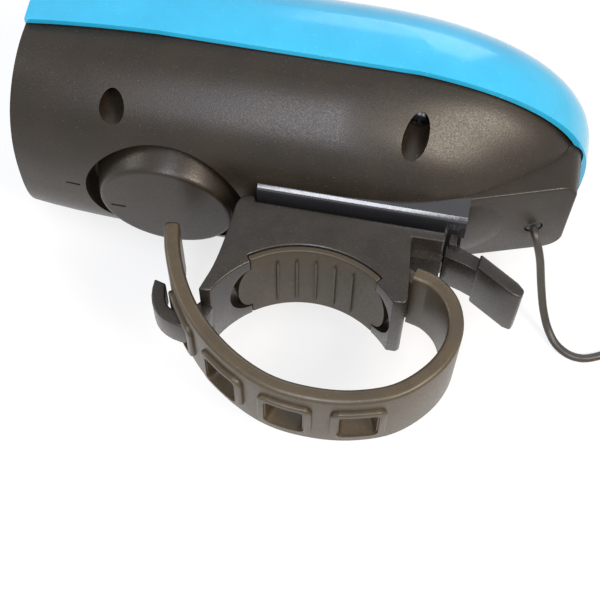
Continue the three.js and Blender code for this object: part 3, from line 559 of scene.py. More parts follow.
# %% Helpers for shapes
def extruded(points, along):
    """A flat outline pushed along a vector into a closed solid."""
    bm = bmesh.new()
    face = bm.faces.new([bm.verts.new(p) for p in points])
    made = bmesh.ops.extrude_face_region(bm, geom=[face])["geom"]
    moved = [v for v in made if isinstance(v, bmesh.types.BMVert)]
    bmesh.ops.translate(bm, verts=moved, vec=along)
    bmesh.ops.recalc_face_normals(bm, faces=bm.faces)
    return bm


def side_slab(points, y0, y1):
    """A side view of (x, z) points made solid across Y."""
    return extruded([(x, y0, z) for x, z in points], (0, y1 - y0, 0))


def plan_slab(points, z0, z1):
    """A plan of (x, y) points made solid upwards."""
    return extruded([(x, y, z0) for x, y in points], (0, 0, z1 - z0))


def block(x0, x1, y0, y1, z0, z1):
    """A box between two limits on each axis."""
    bm = bmesh.new()
    bmesh.ops.create_cube(bm, size=1)
    bmesh.ops.scale(bm, verts=bm.verts, vec=(x1 - x0, y1 - y0, z1 - z0))
    bmesh.ops.translate(bm, verts=bm.verts, vec=((x0 + x1) / 2, (y0 + y1) / 2, (z0 + z1) / 2))
    return bm


def turned(profile, centre=(0, 0, 0), axis="Z", steps=64):
    """A profile of (radius, height) spun about an upright axis, or about X or Y."""
    bm = bmesh.new()
    chain = [bm.verts.new((r, 0, h)) for r, h in profile]
    edges = [bm.edges.new(pair) for pair in zip(chain, chain[1:])]
    bmesh.ops.spin(
        bm,
        geom=[*chain, *edges],
        axis=(0, 0, 1),
        cent=(0, 0, 0),
        angle=2 * math.pi,
        steps=steps,
        use_merge=True,
    )
    bmesh.ops.remove_doubles(bm, verts=bm.verts, dist=1e-4)
    if axis == "X":
        bm.transform(Matrix.Rotation(math.radians(90), 4, "Y"))
    if axis == "Y":
        bm.transform(Matrix.Rotation(math.radians(-90), 4, "X"))
    bmesh.ops.translate(bm, verts=bm.verts, vec=centre)
    bmesh.ops.recalc_face_normals(bm, faces=bm.faces)
    return bm


def post(x, y, r, z0, z1, steps=32):
    """An upright cylinder."""
    return turned([(0, z0), (r, z0), (r, z1), (0, z1)], (x, y, 0), steps=steps)


def axle(x, z, r, half, steps=48):
    """A cylinder along Y."""
    return turned([(0, -half), (r, -half), (r, half), (0, half)], (x, 0, z), "Y", steps)


def arc(cx, cz, r, start, end, steps):
    """Points on an arc, in degrees, anticlockwise from +X."""
    angles = [math.radians(start + (end - start) * i / steps) for i in range(steps + 1)]
    return [(cx + r * math.cos(a), cz + r * math.sin(a)) for a in angles]


def rounded_rectangle(x0, x1, y0, y1, r, steps=6):
    """The plan of a rectangle with round corners."""
    return [
        *arc(x1 - r, y0 + r, r, -90, 0, steps),
        *arc(x1 - r, y1 - r, r, 0, 90, steps),
        *arc(x0 + r, y1 - r, r, 90, 180, steps),
        *arc(x0 + r, y0 + r, r, 180, 270, steps),
    ]


def together(*parts):
    """Several loose solids in one mesh, for one cut."""
    whole = bmesh.new()
    for part in parts:
        scratch = bpy.data.meshes.new("scratch")
        part.to_mesh(scratch)
        part.free()
        whole.from_mesh(scratch)
        bpy.data.meshes.remove(scratch)
    return whole


def combined(bm, tool, operation):
    """Cut, join or intersect two closed solids with an applied Boolean modifier."""
    objects = []
    for name, part in (("work", bm), ("tool", tool)):
        mesh = bpy.data.meshes.new(name)
        part.to_mesh(mesh)
        part.free()
        objects.append(bpy.data.objects.new(name, mesh))
        bpy.context.scene.collection.objects.link(objects[-1])
    work, cutter = objects
    modifier = work.modifiers.new("boolean", "BOOLEAN")
    modifier.operation = operation
    modifier.solver = "EXACT"
    modifier.object = cutter
    made = bmesh.new()
    made.from_object(work, bpy.context.evaluated_depsgraph_get())
    for o in objects:
        mesh = o.data
        bpy.data.objects.remove(o)
        bpy.data.meshes.remove(mesh)
    return made


def cut(bm, tool):
    """The first solid without the second."""
    return combined(bm, tool, "DIFFERENCE")


def join(bm, tool):
    """Both solids as one."""
    return combined(bm, tool, "UNION")


def common(bm, tool):
    """What two solids share."""
    return combined(bm, tool, "INTERSECT")


def soften(bm, radius, segments=3, sharper_than=50, keep=None):
    """Round the edges that are sharper than an angle, as a moulding tool's corners are."""
    limit = math.radians(sharper_than)
    edges = [e for e in bm.edges if len(e.link_faces) == 2 and e.calc_face_angle(0) > limit]
    if keep:
        edges = [e for e in edges if keep(e)]
    bmesh.ops.bevel(
        bm,
        geom=edges,
        offset=radius,
        offset_type="OFFSET",
        affect="EDGES",
        segments=segments,
        profile=0.5,
        material=-1,
        clamp_overlap=True,
    )
    return bm


BIG = 200  # well past the lamp's ends, for the size of a cutting block
print("shape helpers ready")

# %% [markdown]
# ## The case's hull
#
# Both shells come from one rounded hull, a superellipsoid: a sphere whose radius follows a power
# law, so that the section is a soft square and the rear is blunt. The sphere's poles lie at the nose
# and the rear. How far it reaches to the rear, to the sides and up is read from the CAD top shell's
# box, so the moulded case lands on the one that carries the load. The nose, which the lens end cuts
# off, and the belly are named values.

# %% Hull sizes and hull
SKIRT = 1.3  # how far the top shell stands outside the lower one
SIDE_FLAT = 0.6  # how far the sides are flattened
HULL_Z = 45.0  # height of the widest line over the bar
HULL_FRONT = 75.0  # front semi-axis, which the lens end cuts short
HULL_DEEP = 19.7  # from the widest line down to the belly
SECTION_POWER, REAR_POWER, FRONT_POWER = 2.5, 2.3, 3.0
BELLY_DIP, DIP_AT, DIP_WIDE, DIP_FADE = 0.95, -0.5, 0.36, 0.12  # the belly runs up beside the plinth
NOSE_FULL, NOSE_FROM, NOSE_OVER = 2.0, 0.15, 0.5  # the belly stays low almost to the lens
HALVINGS = 26  # each halves the error, which starts at twice the hull's size
WALL = 2.0
SPLIT_Z = 43.4
SKIRT_LAP = 1.4

top_low, top_high = upright_box("top_shell")
FRONT_X = top_low.x
HULL_REAR = top_high.x - SKIRT
HULL_WIDE = top_high.y + SIDE_FLAT - SKIRT
HULL_TOP = top_high.z - HULL_Z - SKIRT


def rear_power(rise):
    """How blunt the rear is, for a direction that rises by this share."""
    if rise >= 0:
        return REAR_POWER
    fade = min(1.0, -rise / DIP_FADE)
    return REAR_POWER - BELLY_DIP * fade * math.exp(-(((rise - DIP_AT) / DIP_WIDE) ** 2))


def front_power(rise):
    """How full the nose is, for a direction that rises by this share."""
    return FRONT_POWER + NOSE_FULL * max(0.0, min(1.0, (-rise - NOSE_FROM) / NOSE_OVER))


def hull_reach(d, dipped):
    """Distance along a unit direction to the unit hull's surface, by halving."""
    power = (rear_power(d.z) if dipped else REAR_POWER) if d.x > 0 else front_power(d.z)
    along, across = abs(d.x), abs(d.y) ** SECTION_POWER + abs(d.z) ** SECTION_POWER
    near, far = 0.0, 2.0
    for _ in range(HALVINGS):
        t = (near + far) / 2
        if (along * t) ** power + across * t**SECTION_POWER < 1:
            near = t
        else:
            far = t
    return near


def hull(offset, front_x, bottom, top, around=112, along=80, dipped=False):
    """The hull grown by an offset, between the lens end and two heights.

    The lower shell's own belly is the dipped one.
    """
    bm = bmesh.new()
    bmesh.ops.create_uvsphere(bm, u_segments=around, v_segments=along, radius=1)
    bmesh.ops.rotate(bm, verts=bm.verts, matrix=Matrix.Rotation(math.radians(90), 3, "Y"))
    for v in bm.verts:
        d = v.co.normalized()
        t = hull_reach(d, dipped)
        long = HULL_REAR if d.x > 0 else HULL_FRONT
        tall = HULL_TOP if d.z > 0 else HULL_DEEP
        v.co = (
            d.x * t * (long + offset),
            d.y * t * (HULL_WIDE + offset),
            HULL_Z + d.z * t * (tall + offset),
        )
    flat = HULL_WIDE - SIDE_FLAT + offset
    return common(bm, block(front_x, BIG, -flat, flat, bottom, top))


print(f"hull: rear {HULL_REAR:.1f}, half width {HULL_WIDE:.1f}, top {HULL_TOP:.1f} mm")

# %% [markdown]
# ## The lower shell
#
# The black lower shell is one moulding: belly, slide rail, plinth and the pocket for the horn. It is
# built as it is tooled. The outside is the hull with the plinth and rail added, their corners rounded
# first. The inside is a smaller hull, less what must stay solid. Then the holes are cut: the horn's
# pocket and mouth, four screw wells, the rail's channel, the charging port, the cord's gland and a
# short index mark.

# %% Lower shell sizes
GAP = 0.3
RAIL_WIDE, RAIL_FRONT, RAIL_REAR, RAIL_Z = 9.5, -11.0, 21.5, 25.3
LIP_THICK, CHANNEL_WIDE, CHANNEL_HIGH, SLOT_WIDE = 1.1, 7.6, 1.7, 4.5
RAIL_EDGE = 1.35  # round lower edge of the rail, which catches the light
PLINTH_REAR, PLINTH_Z, PLINTH_CORNER = 37.7, 29.4, 3.0
PLINTH_SLOPE = math.radians(18)
HORN_X, CAP_FACE_Z, CAP_FACE_R, CAP_BASE_R, CAP_HIGH = -25.8, 24.4, 10.8, 12.2, 4.9
POCKET_R, HORN_MOUTH_R = CAP_BASE_R + 0.7, 7.8
SCREW_SPOTS = [(11.7, 17.3), (11.7, -17.3), (-34.2, 17.0), (-34.2, -17.0)]
SCREW_R, SCREW_HEAD_R, SCREW_SEAT_Z, SCREW_TIP_Z = 1.05, 1.65, 38.0, 50.0
GLAND_X, GLAND_Y, GLAND_NECK_R = 32.5, 2.0, 1.2
POCKET_FLARE = [(0.4, 27.6), (0.32, 27.9), (0.18, 28.4), (0.08, 28.8), (0, 29.2)]  # widening, height
MARK_LONG, MARK_WIDE, MARK_DEEP = 2.4, 0.5, 0.18
CASE_MARK = (-41.2, -0.8, 25.7)

channel_z = RAIL_Z + LIP_THICK
channel_top = channel_z + CHANNEL_HIGH
rail_ceiling = channel_top + WALL
pocket_top = CAP_FACE_Z + CAP_HIGH + GAP
horn_deck_top = pocket_top + WALL - 0.2


def plinth_z(x):
    """Height of the plinth's underside, which rises to the rear."""
    return PLINTH_Z + (x - RAIL_REAR) * math.tan(PLINTH_SLOPE)


def on_gland(bm):
    """Turn a solid made round the origin square to the plinth's underside, at the gland."""
    bm.transform(
        Matrix.Translation((GLAND_X, GLAND_Y, plinth_z(GLAND_X))) @ Matrix.Rotation(-PLINTH_SLOPE, 4, "Y")
    )
    return bm


def under_plinth(rise, from_x):
    """Everything below the plinth's sloping underside, raised by a wall."""
    up = rise / math.cos(PLINTH_SLOPE)
    outline = [(from_x, -50), (BIG, -50), (BIG, plinth_z(BIG) + up), (from_x, plinth_z(from_x) + up)]
    return side_slab(outline, -BIG, BIG)


def plinth(offset, bottom, top):
    """The plinth before its underside is cut sloping, a block with round upright corners."""
    side = RAIL_WIDE + offset
    plan = rounded_rectangle(RAIL_REAR - 12, PLINTH_REAR + offset, -side, side, PLINTH_CORNER + offset, 8)
    return plan_slab(plan, bottom, top)


def rail_block():
    """The rail before its long lower edges are rounded."""
    return block(RAIL_FRONT, RAIL_REAR, -RAIL_WIDE, RAIL_WIDE, RAIL_Z, rail_ceiling)


def on_rail_edge(edge):
    """Whether an edge runs along the rail at its bottom."""
    a, b = (v.co for v in edge.verts)
    return max(a.z, b.z) < RAIL_Z + 0.1 and abs(a.y - b.y) < 0.1


def index_mark(x, y, z):
    """A block that cuts a short mark along X into a face that looks down at this height."""
    long, wide = MARK_LONG / 2, MARK_WIDE / 2
    return block(x - long, x + long, y - wide, y + wide, z - 2, z + MARK_DEEP)


# %% Lower shell, its outside and its room
PLINTH_EDGE = 0.35
POST_R = 3.4
BELOW = 20  # a height below the whole case, where upright cuts start
plinth_from = RAIL_Z + RAIL_EDGE + 0.4  # inside the rail, clear of its round edge

raised = cut(plinth(0, plinth_from, SPLIT_Z), under_plinth(0, RAIL_REAR))
soften(raised, PLINTH_EDGE, 3, 40, lambda e: max(v.co.z for v in e.verts) < SPLIT_Z - 1)
rail = rail_block()
soften(rail, RAIL_EDGE, 8, 50, on_rail_edge)
shell = join(hull(0, FRONT_X, -BIG, SPLIT_Z, dipped=True), raised)
shell = join(shell, rail)

room = hull(-WALL, FRONT_X - 1, -BIG, SPLIT_Z + 1, dipped=True)
room = join(room, plinth(-WALL, PLINTH_Z, SPLIT_Z + 1))
room = cut(room, rail_block())
room = cut(room, under_plinth(WALL, RAIL_REAR - WALL))
solid_posts = [post(x, y, POST_R, BELOW, SPLIT_Z + 2) for x, y in SCREW_SPOTS]
horn_post = post(HORN_X, 0, POCKET_R + WALL, BELOW, horn_deck_top, 64)
room = cut(room, together(horn_post, *solid_posts))
shell = cut(shell, room)
print("lower shell hollowed:", len(shell.faces), "faces")

# %% Lower shell, its openings
flared = [(POCKET_R + wider, z) for wider, z in POCKET_FLARE]
pocket = [(0, BELOW), (flared[0][0], BELOW), *flared, (POCKET_R, pocket_top), (0, pocket_top)]
shell = cut(shell, turned(pocket, (HORN_X, 0, 0), steps=96))
shell = cut(shell, together(post(HORN_X, 0, HORN_MOUTH_R, pocket_top - 1, 40, 48)))
wells = [post(x, y, SCREW_HEAD_R + GAP, BELOW, SCREW_SEAT_Z + GAP, 40) for x, y in SCREW_SPOTS]
shell = cut(shell, together(*wells))
pilots = [post(x, y, SCREW_R + GAP, SCREW_SEAT_Z, 60, 20) for x, y in SCREW_SPOTS]
shell = cut(shell, together(*pilots))
front_stop = RAIL_FRONT + WALL / 2
shell = cut(shell, block(front_stop, BIG, -CHANNEL_WIDE, CHANNEL_WIDE, channel_z, channel_top))
shell = cut(shell, block(front_stop, BIG, -SLOT_WIDE, SLOT_WIDE, RAIL_Z - 1, channel_top - 0.2))

flap_low, flap_high = upright_box("usb_cover")
socket_low, socket_high = upright_box("usb_socket")
port = block(
    socket_high.x - 8, BIG, socket_low.y - GAP, socket_high.y + GAP, socket_low.z - GAP, socket_high.z + GAP
)
shell = cut(shell, port)
flap_seat = block(
    PLINTH_REAR - 1 - GAP, BIG, flap_low.y - GAP, flap_high.y + GAP, flap_low.z - GAP, flap_high.z + GAP
)
shell = cut(shell, flap_seat)
shell = cut(shell, on_gland(post(0, 0, GLAND_NECK_R + GAP, -3, 4, 32)))
shell = cut(shell, index_mark(*CASE_MARK))
lower_case = finished("lower_case", shell, "lamp", spark_eroded_abs, ["lower_shell"], 32)

# %% [markdown]
# The rail's faces come off a polished insert in the tool, so they take a second material, whose
# cooler, lighter grey is a painted bluish sheen. They are found by where they are: the slab of space
# that the rail fills. One insert in the tool ends where the finish changes, so the edges there are kept
# sharp.

# %% Polish the rail
POLISHED = 1
SLAB_MARGIN = 0.00005  # metres

lower_case.data.materials.append(polished_abs_painted_sheen)
slab_corners = [(RAIL_FRONT, -RAIL_WIDE, RAIL_Z), (RAIL_REAR, RAIL_WIDE, rail_ceiling)]
slab_corners = [LAID @ Vector(corner) for corner in slab_corners]
slab_low = [min(a, b) - SLAB_MARGIN for a, b in zip(*slab_corners)]
slab_high = [max(a, b) + SLAB_MARGIN for a, b in zip(*slab_corners)]
finishes = {}
for face in lower_case.data.polygons:
    corners = [lower_case.data.vertices[i].co for i in face.vertices]
    if all(low <= c <= high for co in corners for low, c, high in zip(slab_low, co, slab_high)):
        face.material_index = POLISHED
    for key in face.edge_keys:
        finishes.setdefault(key, set()).add(face.material_index)
for edge in lower_case.data.edges:
    if len(finishes[edge.key]) > 1:
        edge.use_edge_sharp = True
print("polished faces:", sum(face.material_index == POLISHED for face in lower_case.data.polygons))

# %% [markdown]
# ## The top shell
#
# The cyan top shell stands 1.3 mm outside the lower one, and its skirt hangs past the joint, so rain
# runs off. Only its rim shows from below. It is the grown hull, hollowed, with a round hole for the
# power button and a slot for the battery window.

# %% Top shell
BUTTON_X, BUTTON_R = -2.0, 4.6
WINDOW_CORNER = 1.15
window_low, window_high = upright_box("status_window")


def window_plan(grown):
    """The window's plan, this much larger all round."""
    low, high = window_low, window_high
    corner = WINDOW_CORNER + grown
    return rounded_rectangle(low.x - grown, high.x + grown, low.y - grown, high.y + grown, corner, 8)


cover = hull(SKIRT, FRONT_X, SPLIT_Z - SKIRT_LAP, BIG)
soften(cover, 0.35, 3, 60, lambda e: max(v.co.z for v in e.verts) < SPLIT_Z - SKIRT_LAP + 0.1)
cover = cut(cover, hull(GAP, FRONT_X - 1, -BIG, SPLIT_Z + 1.4, 96, 64))
cover = cut(cover, hull(SKIRT - WALL, FRONT_X - 1, SPLIT_Z + 0.4, BIG, 96, 64))
cover = cut(cover, plinth(GAP, PLINTH_Z, SPLIT_Z + GAP))
cover = cut(cover, post(BUTTON_X, 0, BUTTON_R + GAP, 50, BIG, 64))
cover = cut(cover, plan_slab(window_plan(GAP), 50, BIG))
finished("top_cover", cover, "lamp", cyan_abs, ["top_shell"], 32)

# %% [markdown]
# The battery window is a frosted light pipe pressed into its slot. The power button is rubber and
# turned in one profile: a flange that the cover holds down, a short stem, and a raised ring on top.

# %% Window and power button
pipe = plan_slab(window_plan(0), window_low.z, window_high.z)
soften(pipe, 0.2, 3)
finished("light_window", pipe, "lamp", light_pipe, ["status_window"])

button_low, button_high = upright_box("power_button")
RING_R = 2.6  # a raised ring that a thumb finds in the dark
key = turned(
    [
        (0, button_low.z),
        (BUTTON_R + 0.9, button_low.z),
        (BUTTON_R + 0.9, button_low.z + 0.7),
        (BUTTON_R, button_low.z + 0.7),
        (BUTTON_R, button_high.z - 1.1),
        (BUTTON_R - 0.15, button_high.z - 0.75),
        (BUTTON_R - 0.6, button_high.z - 0.5),
        (RING_R + 0.5, button_high.z - 0.4),
        (RING_R + 0.3, button_high.z - 0.1),
        (RING_R, button_high.z),
        (RING_R - 0.3, button_high.z - 0.1),
        (RING_R - 0.5, button_high.z - 0.4),
        (0, button_high.z - 0.45),
    ],
    (BUTTON_X, 0, 0),
    steps=72,
)
finished("rubber_button", key, "button", soft_rubber, ["power_button"], 60)

# %% [markdown]
# ## The horn's twist cap
#
# The cap is round, so its half section is spun about its axis. Its face is nearly flat with a small
# rolled edge, its side flares to the base, and a skirt inside it grips the horn's mouth. Two
# shallow marks, one on the cap and one on the case, line up when it is locked.

# %% Twist cap
cap_base = CAP_FACE_Z + CAP_HIGH
cap_profile = [
    (0, CAP_FACE_Z),
    (CAP_FACE_R - 0.9, CAP_FACE_Z),
    (CAP_FACE_R - 0.45, CAP_FACE_Z + 0.06),
    (CAP_FACE_R - 0.2, CAP_FACE_Z + 0.2),
    (CAP_FACE_R, CAP_FACE_Z + 0.5),
    (CAP_FACE_R + 0.2, CAP_FACE_Z + 1.0),
    (CAP_FACE_R + 0.55, CAP_FACE_Z + 2.0),
    (CAP_BASE_R - 0.25, cap_base - 0.9),
    (CAP_BASE_R, cap_base),
    (HORN_MOUTH_R - 0.4, cap_base),
    (HORN_MOUTH_R - 0.4, horn_deck_top - GAP),
    (HORN_MOUTH_R - 1.8, horn_deck_top - GAP),
    (HORN_MOUTH_R - 1.8, cap_base - 2),
    (0, cap_base - 2),
]
CAP_MARK = (HORN_X - 7.9, 1.6, CAP_FACE_Z)
cap = cut(turned(cap_profile, (HORN_X, 0, 0), steps=128), index_mark(*CAP_MARK))
finished("twist_cap", cap, "cap", spark_eroded_abs, ["horn_cap"], 40)

# %% [markdown]
# ## Gland, charging flap and screws
#
# The grommet is turned and set square to the plinth's slope. The flap is a small rubber plate with a
# thumb nick and a plug behind it. The screws are black zinc-plated pan heads with a cross recess,
# deep in their wells, so hardly anything of them shows.

# %% Grommet and flap
GLAND_FLANGE_R = 2.9
grommet = on_gland(
    turned(
        [
            (0, 0),
            (GLAND_NECK_R - 0.3, 0),
            (GLAND_NECK_R + 0.05, 0.12),
            (GLAND_NECK_R + 0.2, 0.4),
            (GLAND_NECK_R + 0.2, WALL + GAP),
            (GLAND_FLANGE_R, WALL + GAP),
            (GLAND_FLANGE_R, WALL + GAP + 1),
            (0, WALL + GAP + 1),
        ],
        steps=48,
    )
)
finished("cord_grommet", grommet, "lamp", soft_rubber, ["cable_gland"], 50)

FLAP_PLATE, PLUG_WIDE = 1.2, 2.6
plate = block(flap_high.x - FLAP_PLATE, flap_high.x, flap_low.y, flap_high.y, flap_low.z, flap_high.z)
soften(plate, 0.25, 3)
NICK_R = 1.6
nick_at = (flap_high.x + 0.5, 0, flap_high.z + 1.1)
plate = cut(plate, turned([(0, -1), (NICK_R, -1), (NICK_R, 1), (0, 1)], nick_at, "X", 40))
plug_rear = flap_high.x - FLAP_PLATE + 0.2
plug = block(flap_low.x, plug_rear, -PLUG_WIDE, PLUG_WIDE, socket_low.z + 0.65, socket_high.z - 0.75)
soften(plug, 0.2, 2)
finished("charge_flap", join(plate, plug), "flap", soft_rubber, ["usb_cover"], 50)

# %% Case screws
HEAD_THICK, THREAD_PITCH, THREAD_DEEP = 1.2, 1.0, 0.25
RECESS_LONG, RECESS_WIDE, RECESS_DEEP = 1.1, 0.25, 0.8


def pan_screw(x, y):
    """A pan-head tapping screw, head down, with a cross recess."""
    head_z = SCREW_SEAT_Z - HEAD_THICK
    head_r, root_r = SCREW_HEAD_R, SCREW_R - THREAD_DEEP
    profile = [(0, head_z), (head_r - 0.75, head_z + 0.05)]
    profile += [(head_r - 0.3, head_z + 0.2), (head_r, head_z + 0.6), (head_r, SCREW_SEAT_Z)]
    z = SCREW_SEAT_Z
    while z < SCREW_TIP_Z - 1.5:
        profile += [(root_r, z), (SCREW_R, z + THREAD_PITCH / 2)]
        z += THREAD_PITCH
    profile += [(root_r, z), (0, SCREW_TIP_Z)]
    body = turned(profile, (x, y, 0), steps=32)
    for long, wide in ((RECESS_LONG, RECESS_WIDE), (RECESS_WIDE, RECESS_LONG)):
        recess = block(x - long, x + long, y - wide, y + wide, head_z - 1, head_z + RECESS_DEEP)
        body = cut(body, recess)
    return body


# The CAD screws alternate between the lamp's two sides
for i, (x, y) in enumerate((x, y * side) for x, y in SCREW_SPOTS[::2] for side in (-1, 1)):
    name = f"case_screw_{i + 1}"
    finished(f"pan_screw_{i + 1}", pan_screw(x, y), "lamp", black_zinc, [name], 30)

# %% [markdown]
# ## The lens end
#
# A gloss black ring closes the hull's cut end and holds the lens. Behind the clear lens sits a
# metallised bowl, a parabola in section, with the LED's yellow dome at its throat. All of them are
# turned about the beam, which runs along X.

# %% Lens end
BEAM_Z, APERTURE_R, BEZEL_THICK, LENS_THICK, REFLECTOR_DEEP = 43.2, 11.5, 3.3, 1.5, 10.6
bezel_x = FRONT_X + 0.5
lens_x = bezel_x + BEZEL_THICK + GAP
bowl_x = lens_x + LENS_THICK + GAP


def beam_turned(profile, steps=96):
    """A profile of (radius, x) turned about the beam's axis."""
    return turned(profile, (0, 0, BEAM_Z), "X", steps)


ring = hull(-WALL - GAP, bezel_x, -BIG, BIG)
ring = common(ring, block(-BIG, bezel_x + BEZEL_THICK, -BIG, BIG, -BIG, BIG))
bore = [
    (0, bezel_x - 1),
    (APERTURE_R + 2.2, bezel_x - 1),
    (APERTURE_R + 2.2, bezel_x),
    (APERTURE_R + 0.9, bezel_x + 0.35),
    (APERTURE_R + 0.3, bezel_x + 0.8),
    (APERTURE_R, bezel_x + 1.5),
    (APERTURE_R, bezel_x + BEZEL_THICK + 1),
    (0, bezel_x + BEZEL_THICK + 1),
]
finished("lens_ring", cut(ring, beam_turned(bore)), "lamp", bezel_abs, ["front_bezel"], 40)

# %% Lens and reflector
LENS_PROUD, LENS_SAG, LENS_STEPS = 1.6, 1.3, 8
lens_profile = [(0, lens_x - LENS_PROUD)]
for i in range(1, LENS_STEPS + 1):
    share = i / LENS_STEPS
    lens_profile.append(((APERTURE_R - GAP) * share, lens_x - LENS_PROUD + LENS_SAG * share**2))
lens_profile += [
    (APERTURE_R - GAP, lens_x),
    (APERTURE_R + 0.8, lens_x),
    (APERTURE_R + 0.8, lens_x + LENS_THICK),
    (0, lens_x + LENS_THICK),
]
finished("clear_lens", beam_turned(lens_profile), "lamp", polycarbonate, ["lens"], 40)

BOWL_THROAT, BOWL_WALL, BOWL_STEPS = 2.6, 0.8, 14
bowl_mouth = APERTURE_R + 0.5 - BOWL_WALL
inside = []
for i in range(BOWL_STEPS + 1):
    share = i / BOWL_STEPS
    r = BOWL_THROAT + (bowl_mouth - BOWL_THROAT) * share
    inside.append((r, bowl_x + REFLECTOR_DEEP * (1 - share**2)))
outside = [(r + BOWL_WALL, x) for r, x in reversed(inside)]
bowl = beam_turned([*inside, *outside, inside[0]])
finished("mirror_bowl", bowl, "lamp", metallised, ["reflector"], 40)

# %% LED dome
dome_low, dome_high = upright_box("led_emitter")
DOME_R, DOME_TALL, DOME_BASE = 1.9, 1.2, 0.4
dome = [(0, dome_low.x)]
for degrees in range(15, 105, 15):
    turn = math.radians(degrees)
    dome.append((DOME_R * math.sin(turn), dome_high.x - DOME_BASE - DOME_TALL * math.cos(turn)))
dome += [(DOME_R, dome_high.x), (0, dome_high.x)]
finished("led_dome", beam_turned(dome, 40), "lamp", phosphor, ["led_emitter"], 40)
print("lens end done")

# %% [markdown]
# ## The bar bracket
#
# The bracket is a thick plate with a saddle cut to the handlebar. Seen from the side it is one
# outline, so it is drawn as that outline, extruded across, and its corners are rounded as the tool
# rounds them. A neck and two wings slide in the rail's channel, and a leaf-shaped hook at the front
# takes the strap. The strap's root lies in a slot behind the saddle, on a steel pin.

# %% Bracket sizes
BAR_R, SADDLE_R, PAD_THICK = 15.9, 16.2, 1.4
PAD_REACH, TONGUE_WIDE = 36, 6.0
PLATE_Z, HOOK_WIDE, CLAMP_WIDE = 23.4, 3.2, 9.0
STRAP_WIDE, STRAP_THICK, STRAP_NECK = 8.0, 2.4, 6.3
PIN_X, PIN_Z, PIN_R, EYE_R = 10.9, 18.3, 1.1, 2.5


def quadratic(start, control, end, steps=8):
    """Points on a quadratic curve, without its first."""
    a, b, c = Vector(start), Vector(control), Vector(end)
    return [tuple(a.lerp(b, t).lerp(b.lerp(c, t), t)) for t in ((i + 1) / steps for i in range(steps))]


plate_line = [(18.6, PLATE_Z), (-10.8, PLATE_Z), (-11.2, PLATE_Z + 0.9)]
plate_line += quadratic(plate_line[-1], (-13.4, PLATE_Z + 1.1), (-13.7, PLATE_Z - 1.2))
plate_line += quadratic(plate_line[-1], (-14.2, 14), (-15.2, 10.6))
plate_line += [(-16.3, 7.2)]
JAW_Z, HEEL_Z = 7.2, 10.4  # where the saddle's arc starts at the front and ends at the rear
jaw_angle = 180 - math.degrees(math.asin(JAW_Z / SADDLE_R))
heel_angle = math.degrees(math.asin(HEEL_Z / SADDLE_R))
plate_line += arc(0, 0, SADDLE_R, jaw_angle, heel_angle, 56)
plate_line += [(13.8, HEEL_Z)]
plate_line += quadratic(plate_line[-1], (14.6, 10.6), (14.5, 11.6), 4)
plate_line += [(13.5, 21.7), (18.6, 21.7)]

hook_line = [(-15.1, 10.4)]
hook_line += quadratic(hook_line[-1], (-16.4, 6.9), (-19.2, 6.0))
hook_line += quadratic(hook_line[-1], (-20.9, 5.7), (-21.5, 6.9))
hook_line += quadratic(hook_line[-1], (-22.2, 8.3), (-22.2, 9.9))
hook_line += [(-24.1, 10.4)]
hook_line += quadratic(hook_line[-1], (-24.7, 4.1), (-18.8, 3.3))
hook_line += quadratic(hook_line[-1], (-15.6, 3.2), (-14.4, 7.2))

# %% Bracket
BRACKET_EDGE = 0.3
bracket = side_slab(plate_line, -CLAMP_WIDE, CLAMP_WIDE)
soften(bracket, BRACKET_EDGE, 3, 55)
hook = side_slab(hook_line, -HOOK_WIDE, HOOK_WIDE)
soften(hook, 0.55, 4, 55)
bracket = join(bracket, hook)
slide_front, slide_rear = RAIL_FRONT + WALL / 2 + GAP, RAIL_REAR - 4.5
neck = block(slide_front, slide_rear, -SLOT_WIDE + GAP, SLOT_WIDE - GAP, PLATE_Z - 1, channel_top - GAP)
wings = block(
    slide_front, slide_rear, -CHANNEL_WIDE + GAP, CHANNEL_WIDE - GAP, channel_z + GAP, channel_top - GAP
)
soften(wings, 0.2, 2)
bracket = join(bracket, join(neck, wings))
lever_root = block(13.3, 18.6, -5.2, 5.2, 20.3, 22.2)  # a web under the plate's rear end
bracket = join(bracket, lever_root)

PAD_FIT = 0.12  # the rubber pad nearly fills its seat
recess_r = BAR_R + PAD_THICK + PAD_FIT
slack = math.degrees(PAD_FIT / BAR_R)


def oval_post(turn, r0, r1, half_long, half_wide):
    """An oval post that stands out from the bar, this many degrees round it."""
    made = turned([(0, r0), (1, r0), (1, r1), (0, r1)], steps=56)
    bmesh.ops.scale(made, verts=made.verts, vec=(half_long, half_wide, 1))
    made.transform(Matrix.Rotation(math.radians(90 - turn), 4, "Y"))
    return made


def pad_seat(reach, r0=SADDLE_R - 2, r1=recess_r, steps=48):
    """A band about the bar, this many degrees each way from the top."""
    turn = reach + slack
    return [*arc(0, 0, r1, 90 + turn, 90 - turn, steps), *arc(0, 0, r0, 90 - turn, 90 + turn, steps)]


def on_seat_rim(edge):
    """Whether an edge runs along the pad's seat where it meets the bracket's sides."""
    ends = [v.co for v in edge.verts]
    at_side = all(abs(abs(co.y) - CLAMP_WIDE) < 0.02 for co in ends)
    return at_side and all(abs(math.hypot(co.x, co.z) - recess_r) < 0.05 for co in ends)


